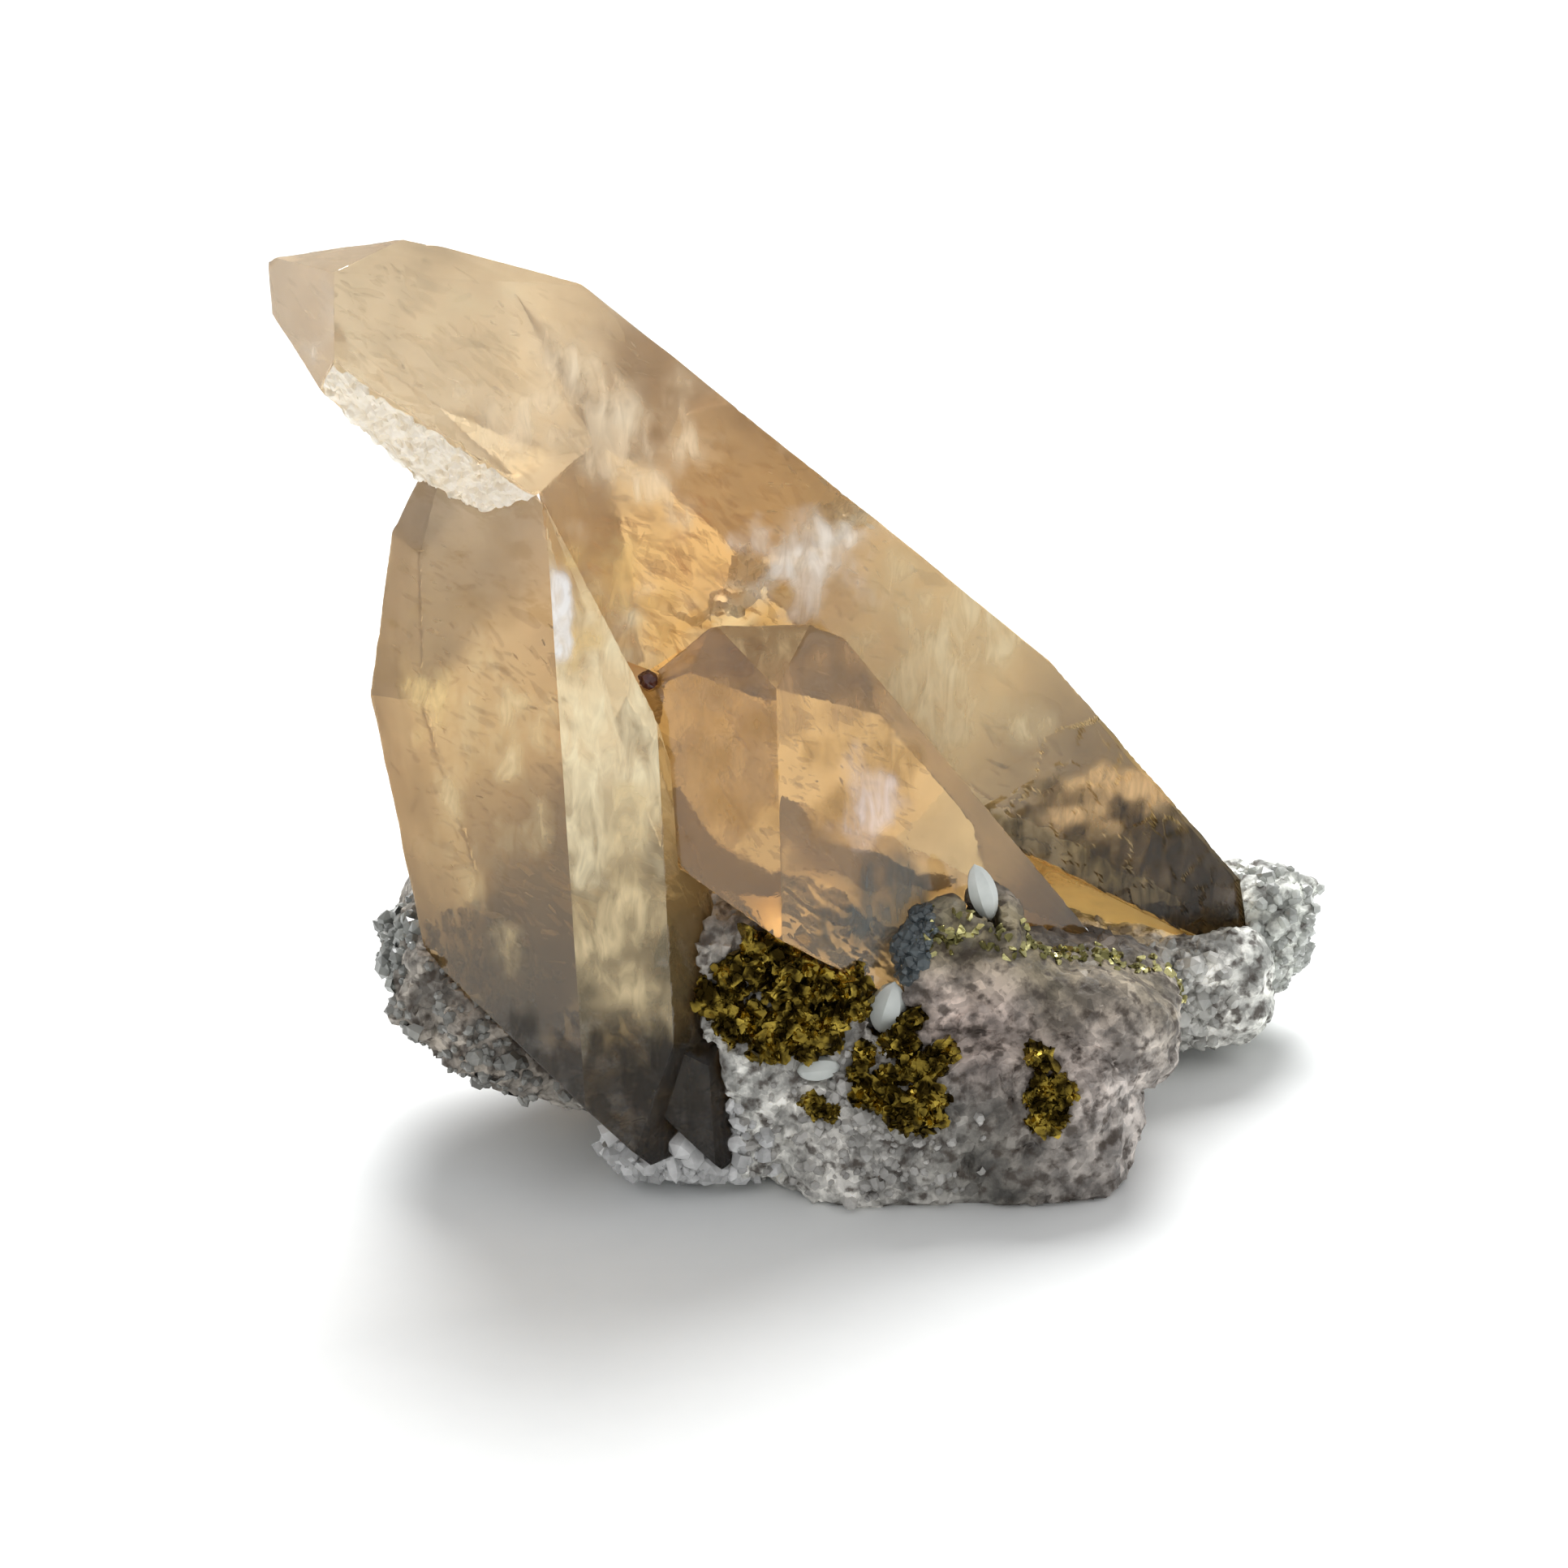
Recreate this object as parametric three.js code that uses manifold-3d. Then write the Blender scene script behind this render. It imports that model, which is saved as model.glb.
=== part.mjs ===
// A calcite specimen: honey-coloured crystals grown together on a lump of host rock, with brassy
// chalcopyrite crusts, small white crystals and one dark grain of sphalerite.
// Millimetres, +Z up. The front looks along -Y, and it rests on the rock's flat underside at Z = 0.

import * as THREE from "three";
import { ConvexGeometry } from "three/addons/geometries/ConvexGeometry.js";
import { mergeVertices } from "three/addons/utils/BufferGeometryUtils.js";
import Module from "manifold-3d";

const wasm = await Module();
wasm.setup();

// Driving dimensions

const SEAT_GAP = 0.3; // clearance where one mineral is seated in another
const FLOOR = 0; // level of the flat underside
const SAME_POINT = 1e-4; // corners this close are one corner
const FULL_TURN = 2 * Math.PI;

// Calcite. Each growth face is [bearing, rise, reach]: the compass bearing that it looks to (0 is +X, 270 is
// the front), how many degrees it looks up, and how far it stands from the crystal's heart.
// A chip is [x, y, z, radius]: a shell-shaped bite broken out of an edge.
// The leaning crystal is broken under its tip, so it is the sum of a body and a tip that share their sides.
const LEANING_HEART = [0, 4, 40];
const LEANING_SIDES = {
  frontUpper: [284, 11, 12.6],
  frontCrest: [287.5, 38, 23],
  top: [23, 48, 10],
  topTip: [75, 48.5, 12.7],
  back: [122, -12, 15],
};
const CALCITE = {
  leaningBody: {
    heart: LEANING_HEART,
    faces: {
      ...LEANING_SIDES,
      frontLower: [290.5, -1, 11],
      topLower: [51, 36, 6.8],
      breakLeft: [177, -10.5, 14.5],
      underFront: [252, -45, 12],
      under: [205, -62, 17],
      heel: [95, -42, 25],
      end: [26, 10, 30.5],
      root: [0, -90, 34],
    },
    chips: [[27.2, 2.2, 35.8, 2]],
  },
  leaningTip: {
    heart: LEANING_HEART,
    faces: {
      ...LEANING_SIDES,
      tipFront: [221, 8.5, 38.9],
      tipCrest: [213, 73, 40.7],
      tipLeft: [159.5, -9, 27.7],
      tipBack: [85, 44, 12.8],
      brokenEdge: [262, -18, 12],
      tipUnder: [181.5, -43, 9.6],
      lipLeft: [195.5, -59.5, 1.7],
      lipRight: [343.5, -69, -18.5],
      inBody: [0, 0, 2],
    },
  },
  left: {
    heart: [-18, -5, 30],
    faces: {
      leftFront: [239, 10, 9.2],
      front: [269, 13.5, 11.5],
      right: [41.5, 13, 1.6],
      rightFront: [322, 10.5, 14.1],
      topLeft: [137.5, 24.5, 16.5],
      leftUpper: [148.5, 4.5, 12],
      leftLower: [155.5, -18.5, 9.6],
      lowLeft: [203, -42.5, 17.1],
      lowRight: [315, -5, 19.3],
      root: [0, -90, 26],
    },
  },
  leftFoot: {
    heart: [-8, -12, 8],
    faces: {
      front: [272, 10, 8.6],
      right: [330, 8, 6.4],
      crest: [300, 48, 8.2],
      left: [200, -42, 3.2],
      leftUpper: [175, 15, 4.5],
      back: [90, 0, 7],
      root: [0, -90, 4.8],
    },
  },
  middle: {
    heart: [2, -9, 32],
    faces: {
      leftFront: [248, 9.5, 9.7],
      rightFront: [305.5, 9.5, 6.4],
      crest: [270.5, 32.5, 11.7],
      top: [91.5, 40.5, 4.9],
      topLeft: [125.5, 39.5, 8.6],
      topRight: [46, 35.5, 6.2],
      leftSide: [170, -20, 12],
      lowLeft: [198.5, -54.5, 11.1],
      root: [0, -90, 17],
    },
  },
};

// Host rock. Each lump is a rounded box: where its middle is, its half sizes, its tilt in degrees about Y,
// and how finely it is cut.
const ROCK_LUMPS = {
  base: { at: [9, 6, 4], half: [21, 15, 9], tilt: 0, detail: 4 },
  frontBlock: { at: [13, -9, 4], half: [14.5, 12, 9.5], tilt: 0, detail: 6 },
  saddle: { at: [-2, -8, 11], half: [9, 11, 12], tilt: 0, detail: 5 },
  frontFoot: { at: [-6.5, -13, 4.8], half: [7, 6, 3.6], tilt: 6, detail: 4 },
  shoulder: { at: [8.5, -9, 15.2], half: [10.5, 6.5, 6.4], tilt: -8, detail: 5 },
  ledge: { at: [18.5, -9.5, 14], half: [13, 7.5, 4], tilt: 19, detail: 5 },
  leftFoot: { at: [-17, -4, 9.5], half: [15, 11, 5], tilt: 27, detail: 5 },
  rightRear: { at: [32.5, 10, 6.5], half: [8, 8, 5], tilt: 0, detail: 4 },
  rightKnob: { at: [39.5, 13, 9], half: [4, 5, 4.5], tilt: 0, detail: 3 },
};
const ROCK_SQUARENESS = 4.4; // 2 is an ellipsoid, and higher is more like a box
const COBBLE = { size: 3.8, height: 1.8 }; // the grains that make the rock lumpy
const SWELL = { size: 9, height: 1.6 }; // broad rises and hollows

// Patches of small crystals on the rock: a point of the patch, the bearing and rise that it is seen from, its
// half width and height as seen from there, the crystals' size, and the step from one to the next.
const FRONT_VIEW = [270, 22];
const VIEW_DISTANCE = 200;
const PATCH_JITTER = 0.7; // how far a crystal strays from its place in the grid, as a share of the step
const CHALCOPYRITE = {
  upper: { at: [-0.1, -18, 17.3], seenFrom: FRONT_VIEW, half: [6.4, 4.6], grain: 1.65, step: 1.8 },
  lower: { at: [9.6, -20, 11.3], seenFrom: FRONT_VIEW, half: [4, 4.6], grain: 1.65, step: 1.8 },
  right: { at: [19.3, -20, 8.9], seenFrom: FRONT_VIEW, half: [2.3, 4.2], grain: 1.35, step: 1.7 },
  small: { at: [3.7, -21, 9.6], seenFrom: FRONT_VIEW, half: [1.8, 1.3], grain: 1, step: 1.3 },
};
const DRUSE = [
  { at: [-23, -13, 12], seenFrom: [240, 10], half: [7, 3], grain: 1.3, step: 2.8 },
  { at: [-30, -8, 17.5], seenFrom: [225, 15], half: [2.5, 4], grain: 1.3, step: 2.5 },
  { at: [-8, -18, 4], seenFrom: FRONT_VIEW, half: [5, 2.5], grain: 1.2, step: 2.4 },
  { at: [9, -16, 22], seenFrom: FRONT_VIEW, half: [7, 3], grain: 1.1, step: 2.4 },
  { at: [31.8, 3, 6.7], seenFrom: [300, 15], half: [4, 4], grain: 1.3, step: 2.8 },
  { at: [41.3, 12, 9.4], seenFrom: [330, 20], half: [3.5, 4], grain: 1.2, step: 2.5 },
];

// Small white crystals: a point that each is seated at, seen from the front, and its faces about that seat.
const WHITE_CRYSTALS = {
  front: {
    at: [7.7, -20, 16.6],
    faces: {
      left: [205, 10, 1.2],
      right: [302, 14, 1.2],
      backRight: [50, 0, 1.2],
      back: [120, 0, 1.3],
      crest: [250, 60, 1.8],
      crestBack: [75, 48, 1.5],
      root: [0, -90, 1.9],
    },
  },
  upper: {
    at: [15.2, -13, 22.3],
    faces: {
      left: [188, 5, 1.2],
      front: [265, 12, 1.2],
      right: [8, 5, 1.3],
      back: [85, -8, 1.3],
      crestLeft: [215, 48, 3.8],
      crestRight: [350, 45, 3.9],
      crestBack: [90, 50, 3.6],
      root: [0, -90, 3],
    },
  },
  small: {
    at: [2.7, -21, 11.8],
    faces: {
      left: [200, 20, 0.8],
      right: [310, 15, 0.8],
      backRight: [40, 0, 0.8],
      back: [115, 0, 0.8],
      crest: [255, 65, 1],
      root: [0, -90, 1],
    },
  },
};

const SPHALERITE = { at: [-10.2, -13.2, 40.8], radius: 0.75 };

// Shapes

// The unit vector at a compass bearing and a rise above level, both in degrees.
function towards(bearing, rise) {
  const turn = THREE.MathUtils.degToRad(bearing);
  const lift = THREE.MathUtils.degToRad(rise);
  return new THREE.Vector3(Math.cos(lift) * Math.cos(turn), Math.cos(lift) * Math.sin(turn), Math.sin(lift));
}

// A repeatable random number from 0 to 1 for three whole numbers.
function chance(i, j, k) {
  let mixed = Math.imul(i, 0x27d4eb2d) ^ Math.imul(j, 0x165667b1) ^ Math.imul(k, 0x1b873593);
  mixed = Math.imul(mixed ^ (mixed >>> 15), 0x85ebca6b);
  mixed = Math.imul(mixed ^ (mixed >>> 13), 0xc2b2ae35);
  return ((mixed ^ (mixed >>> 16)) >>> 0) / 2 ** 32;
}

// Height of packed cobbles at a point, near 1 on a cobble's middle and near 0 in the cracks between them.
function cobbles(point, size) {
  const spot = point.clone().divideScalar(size);
  const [i, j, k] = spot.clone().floor().toArray();
  let nearest = 1;
  for (const a of [i - 1, i, i + 1])
    for (const b of [j - 1, j, j + 1])
      for (const c of [k - 1, k, k + 1]) {
        const middle = new THREE.Vector3(a + chance(a, b, c), b + chance(b, c, a), c + chance(c, a, b));
        nearest = Math.min(nearest, spot.distanceTo(middle));
      }
  return 1 - nearest;
}

// A closed geometry as a solid that can be joined and cut.
function solidOf(geometry) {
  const bare = new THREE.BufferGeometry().setAttribute("position", geometry.getAttribute("position"));
  bare.setIndex(geometry.index);
  const welded = mergeVertices(bare, SAME_POINT);
  return new wasm.Manifold(
    new wasm.Mesh({
      numProp: 3,
      vertProperties: new Float32Array(welded.getAttribute("position").array),
      triVerts: new Uint32Array(welded.index.array),
    }),
  );
}

const joined = (solids) => solids.reduce((all, one) => all.add(one));

// The largest of the separate bodies that a cut may leave.
const largest = (solid) => solid.decompose().reduce((a, b) => (a.volume() > b.volume() ? a : b));

// A crystal bounded by flat growth faces, with its chips broken out. Its corners are the points where three
// faces meet that no other face cuts off. Grow moves every face outwards.
function crystal({ heart, faces, chips = [] }, grow = 0) {
  const planes = Object.values(faces).map(([bearing, rise, reach]) => ({
    normal: towards(bearing, rise),
    reach: reach + grow,
  }));
  const corners = [];
  planes.forEach((a, i) =>
    planes.slice(i + 1).forEach((b, j) =>
      planes.slice(i + j + 2).forEach((c) => {
        const meet = new THREE.Matrix3();
        meet.set(...a.normal.toArray(), ...b.normal.toArray(), ...c.normal.toArray());
        if (Math.abs(meet.determinant()) < 1e-6) return;
        const corner = new THREE.Vector3(a.reach, b.reach, c.reach).applyMatrix3(meet.invert());
        const inside = planes.every(({ normal, reach }) => normal.dot(corner) < reach + SAME_POINT);
        if (inside) corners.push(corner);
      }),
    ),
  );
  const middle = new THREE.Vector3(...heart);
  const whole = solidOf(new ConvexGeometry(corners.map((corner) => corner.add(middle))));
  return chips.reduce((left, [x, y, z, radius]) => {
    const bite = new THREE.IcosahedronGeometry(radius - grow, 2).translate(x, y, z);
    return left.subtract(solidOf(bite));
  }, whole);
}

// A lump of rock: a ball drawn out to a rounded box, swollen and covered with cobbles.
function rockLump({ at, half, tilt, detail }) {
  const geometry = new THREE.IcosahedronGeometry(1, detail);
  const position = geometry.getAttribute("position");
  const turn = new THREE.Euler(0, THREE.MathUtils.degToRad(tilt), 0);
  const middle = new THREE.Vector3(...at);
  const point = new THREE.Vector3();
  for (let i = 0; i < position.count; i++) {
    point.fromBufferAttribute(position, i).normalize();
    const spread = point.toArray().reduce((sum, v) => sum + Math.abs(v) ** ROCK_SQUARENESS, 0);
    const outwards = point.clone();
    point.multiplyScalar(spread ** (-1 / ROCK_SQUARENESS)).multiply(new THREE.Vector3(...half));
    point.applyEuler(turn).add(middle);
    const rise =
      COBBLE.height * cobbles(point, COBBLE.size) + SWELL.height * (cobbles(point, SWELL.size) - 0.5);
    point.addScaledVector(outwards.applyEuler(turn), rise - COBBLE.height / 2);
    position.setXYZ(i, point.x, point.y, point.z);
  }
  return solidOf(geometry);
}

// A viewer far out on a bearing and a rise, facing a point. Right and up are its X and Y.
function viewer(at, [bearing, rise]) {
  const stand = new THREE.Object3D();
  stand.up.set(0, 0, 1);
  stand.position.set(...at);
  stand.lookAt(stand.position.clone().add(towards(bearing, rise)));
  stand.translateZ(VIEW_DISTANCE);
  stand.updateMatrixWorld();
  return stand;
}

// The first point of a surface that a viewer meets when looking straight ahead from a place right and up.
function seen(surface, stand, right = 0, up = 0) {
  const ahead = new THREE.Vector3(0, 0, -1).transformDirection(stand.matrixWorld);
  const look = new THREE.Raycaster(stand.localToWorld(new THREE.Vector3(right, up, 0)), ahead);
  return look.intersectObject(surface)[0]?.point;
}

// A patch of small sharp crystals on the rock, in a jittered grid within an ellipse, each at its own angle.
function patch({ at, seenFrom, half, grain, step }, surface, seed, grow = 0) {
  const stand = viewer(at, seenFrom);
  const reach = Math.ceil(Math.max(...half) / step);
  const crystals = [];
  for (let i = -reach; i <= reach; i++)
    for (let j = -reach; j <= reach; j++) {
      const draw = (k) => chance(i + 50 * seed, j, k);
      const right = step * (i + PATCH_JITTER * (draw(1) - 0.5));
      const up = step * (j + PATCH_JITTER * (draw(2) - 0.5));
      if (Math.hypot(right / half[0], up / half[1]) > 1) continue;
      const spot = seen(surface, stand, right, up);
      if (!spot) continue;
      const form = new THREE.OctahedronGeometry(grain * (0.75 + 0.5 * draw(3)) + grow);
      form.rotateX(FULL_TURN * draw(4)).rotateY(FULL_TURN * draw(5)).rotateZ(FULL_TURN * draw(6));
      crystals.push(solidOf(form.translate(...spot.toArray())));
    }
  return joined(crystals);
}

// A solid as a named mesh with flat facets.
function mesh(name, solid, material) {
  const { vertProperties, triVerts } = solid.getMesh();
  const geometry = new THREE.BufferGeometry();
  geometry.setAttribute("position", new THREE.BufferAttribute(vertProperties, 3));
  geometry.setIndex(new THREE.BufferAttribute(triVerts, 1));
  const facets = geometry.toNonIndexed();
  facets.computeVertexNormals();
  const made = new THREE.Mesh(facets, material);
  made.name = name;
  made.updateMatrixWorld();
  return made;
}

// The specimen

const honeyCalcite = new THREE.MeshStandardMaterial({ color: 0xc9a873, roughness: 0.15, metalness: 0 });
const hostRock = new THREE.MeshStandardMaterial({ color: 0x8c867f, roughness: 0.9, metalness: 0 });
const brassyOre = new THREE.MeshStandardMaterial({ color: 0xa88a35, roughness: 0.35, metalness: 1 });
const whiteSpar = new THREE.MeshStandardMaterial({ color: 0xc4c6c0, roughness: 0.35, metalness: 0 });
const darkBlende = new THREE.MeshStandardMaterial({ color: 0x3c1608, roughness: 0.2, metalness: 0 });

const specimen = new THREE.Group();

const grain = (grow) => {
  const form = new THREE.DodecahedronGeometry(SPHALERITE.radius + grow);
  return solidOf(form.translate(...SPHALERITE.at));
};
specimen.add(mesh("sphalerite_grain", grain(0), darkBlende));

const calcite = joined(Object.values(CALCITE).map((one) => crystal(one))).subtract(grain(SEAT_GAP));
specimen.add(mesh("calcite_crystals", largest(calcite), honeyCalcite));
const calciteSeat = joined(Object.values(CALCITE).map((one) => crystal(one, SEAT_GAP)));

const lumps = joined(Object.values(ROCK_LUMPS).map(rockLump));
const lumpSurface = mesh("lump_surface", lumps, hostRock);
const druse = joined(DRUSE.map((form, i) => patch(form, lumpSurface, i)));
let rock = lumps.add(druse).trimByPlane([0, 0, 1], FLOOR).subtract(calciteSeat);

let whiteSeats = calciteSeat;
for (const [place, { at, faces }] of Object.entries(WHITE_CRYSTALS)) {
  const heart = seen(lumpSurface, viewer(at, FRONT_VIEW)).toArray();
  const white = crystal({ heart, faces }).subtract(calciteSeat);
  specimen.add(mesh(`white_crystal_${place}`, largest(white), whiteSpar));
  whiteSeats = whiteSeats.add(crystal({ heart, faces }, SEAT_GAP));
}
rock = rock.subtract(whiteSeats);

Object.entries(CHALCOPYRITE).forEach(([place, form], i) => {
  const crust = patch(form, lumpSurface, DRUSE.length + i).subtract(whiteSeats);
  specimen.add(mesh(`chalcopyrite_${place}`, largest(crust), brassyOre));
  rock = rock.subtract(patch(form, lumpSurface, DRUSE.length + i, SEAT_GAP));
});
specimen.add(mesh("host_rock", largest(rock), hostRock));

export default specimen;
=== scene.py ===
"""Looks of a calcite specimen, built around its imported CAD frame.

Honey-coloured calcite crystals stand on a lump of host rock with brassy chalcopyrite, small white crystals,
glassy druse and one dark grain of sphalerite. Each piece is worked out with numpy from the CAD node that it
stands for. Places and sizes are in millimetres in the frame's own axes: X right, Y away from the front, Z up.
"""

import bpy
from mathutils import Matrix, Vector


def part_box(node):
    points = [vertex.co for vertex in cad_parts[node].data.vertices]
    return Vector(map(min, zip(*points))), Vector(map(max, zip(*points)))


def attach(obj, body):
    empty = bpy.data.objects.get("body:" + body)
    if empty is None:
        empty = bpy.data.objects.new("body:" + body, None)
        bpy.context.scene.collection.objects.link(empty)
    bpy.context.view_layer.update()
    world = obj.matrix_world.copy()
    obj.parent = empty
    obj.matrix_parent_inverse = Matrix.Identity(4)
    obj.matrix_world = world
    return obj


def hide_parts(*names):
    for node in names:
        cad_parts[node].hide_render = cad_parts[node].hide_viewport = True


bl_info = {
    "name": "Calcite Specimen",
    "version": (1, 0, 0),
    "blender": (4, 5, 0),
    "location": "View3D > Sidebar > Specimen",
    "description": "Builds the surfaces, materials and stage of a calcite specimen around its CAD frame",
    "category": "Add Mesh",
}

import math

import bpy
import numpy as np

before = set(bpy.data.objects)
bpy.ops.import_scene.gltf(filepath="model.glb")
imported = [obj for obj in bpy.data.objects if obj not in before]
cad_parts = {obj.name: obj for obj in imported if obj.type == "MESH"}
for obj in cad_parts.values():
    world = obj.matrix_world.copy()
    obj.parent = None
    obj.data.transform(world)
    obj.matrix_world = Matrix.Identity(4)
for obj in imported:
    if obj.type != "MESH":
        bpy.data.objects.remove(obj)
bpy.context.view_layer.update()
MM = 0.001  # one millimetre in Blender's metres

# Places where the calcite's colour changes: a point, how far the colour reaches from it, the colour, and the
# bearing and rise of the face that it keeps to, if it does.
CALCITE_ZONES = {
    "tip": ((-36, -11, 69), 5, "#fbeedd", (221, 8)),
    "upper_front": ((-22, -10, 64), 11, "#fdefd6", None),
    "crest": ((-8, 3, 60), 14, "#f3d8a9", (30, 45)),
    "waist": ((-6, -8, 54), 8, "#d3aa70", None),
    "orange_heart": ((-9, -10, 46), 6, "#e4a750", None),
    "milky_side": ((12, -3, 40), 10, "#e8d2a3", None),
    "smoky_foot": ((22, 1, 21), 7, "#5a4c34", (290.5, -1)),
    # Painted glow: light that shines through the leaning crystal's foot, painted into its colour.
    "foot_painted_glow": ((27.5, 3, 24), 2.6, "#fcda88", None),
    # Painted glow: the light that comes through the crystal and out of this downward face, painted into its
    # colour.
    "gold_strip_painted_glow": ((22, -2, 18), 6, "#fac96a", (252, -45)),
    "left_upper": ((-24, -9, 45), 8, "#c4994e", (239, 10)),
    "left_middle": ((-25, -11, 32), 8, "#bd955a", (239, 10)),
    "left_low": ((-22, -16, 21), 6, "#c1a472", (239, 10)),
    "left_foot": ((-20, -18, 11.5), 3.2, "#463e32", (239, 10)),
    "front_top": ((-14, -13, 47), 5, "#fce4a8", (269, 13)),
    # Painted light: the brightness of light thrown back by cleavage inside the left crystal, painted into its
    # front's colour.
    "front_painted_light": ((-13, -16, 37), 6, "#fdf1d4", (269, 13)),
    "front_low": ((-12, -19, 22), 6, "#fce5b2", (269, 13)),
    "right_front": ((-9, -16, 30), 9, "#e7c991", (322, 10)),
    "front_foot": ((-11, -21, 11), 3.2, "#443c30", None),
    "foot_crystal": ((-5, -20, 7), 4, "#3b3228", None),
    "middle_left": ((-2, -16, 36), 6, "#bd955a", (248, 10)),
    "middle_right": ((6, -14, 36), 7, "#b5905e", (305, 10)),
    "middle_low": ((4, -16, 27), 4, "#d2aa74", None),
    "middle_foot": ((9, -14, 22), 2.4, "#919188", None),
    "back": ((-5, 15, 40), 16, "#e9c88f", (110, 0)),
}
ZONE_WANDER = 3  # how far the zones' borders stray, in millimetres

# The milky skin of the leaning crystal is broken off below this line on its front.
SKIN_BREAK = [
    (28, 2.8, 33.5), (26.8, 2.4, 32.1), (23.9, 1.4, 31.8), (21, 0.3, 30.8), (20.1, 0, 27.4), (15, -2, 25)]
SKIN_FACE = (290.5, -1)  # bearing and rise of that front
SKIN_DEPTH = 0.7

# The broken lip under the leaning tip: bearing and rise of its face, and its middle.
LIP_FACE = (262, -18)
LIP_MIDDLE = (-24, -11, 57)

# The feathery crack across the leaning crystal, from its right edge to the middle crystal.
CRACK_ENDS = ((8.5, -4.6, 52), (-6, -10, 43.5))
CRACK_INWARDS = (-0.75, 0.62, 0.2)
CRACK_DEPTH = 7
CRACK_WIDTH = 1.7

# Clouds of cleavage films inside the calcite: middle, half sizes, films, size, bearing and rise that the
# films look to, and colour.
VEILS = {
    "tip": ((-24, -5, 62), (13, 6, 9), 700, 1.2, (284, 11), "#fff3d8"),
    "waist": ((-4, -2, 50), (10, 6, 8), 420, 1.2, (284, 30), "#ffe2a8"),
    "orange": ((-9, -6, 46), (6, 5, 6), 260, 1.2, (250, 20), "#f7bb58"),
    "milky": ((10, 1, 40), (10, 7, 9), 240, 1.2, (290, -1), "#f6e8c4"),
    "left": ((-22, -9, 33), (8, 7, 15), 700, 1.1, (239, 35), "#ffedc2"),
    "left_front": ((-13, -13, 34), (4, 4, 12), 260, 1.5, (269, 14), "#fff6dc"),
    "middle": ((3, -10, 33), (7, 6, 8), 320, 1.0, (305, 10), "#ffe6c6"),
    "foot": ((22, 6, 24), (8, 7, 7), 120, 1.3, (290, 20), "#8a6a3a"),
}
# Painted glints, listed like the films above: white slivers that stand in for the flashes of light thrown
# back by the cleavage cracks.
PAINTED_GLINTS = {
    "tip": ((-22, -7, 64), (12, 3, 6), 40, 0.5, (284, 11), "#fffaf0"),
    "left_edge": ((-26.5, -8, 44), (2.5, 3, 6), 40, 0.55, (239, 25), "#ffffff"),
    "left": ((-22, -11, 33), (6, 4, 12), 50, 0.6, (245, 25), "#fffaf0"),
    "left_ridge": ((-17, -13.5, 45), (1.2, 1.5, 3.5), 16, 0.9, (255, 12), "#ffffff"),
    "crack": ((4, -4, 50), (6, 3, 4), 60, 0.5, (284, 11), "#ffffff"),
    "middle": ((6, -13, 31), (4, 2, 4), 40, 0.6, (305, 10), "#fff4ee"),
}

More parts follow.
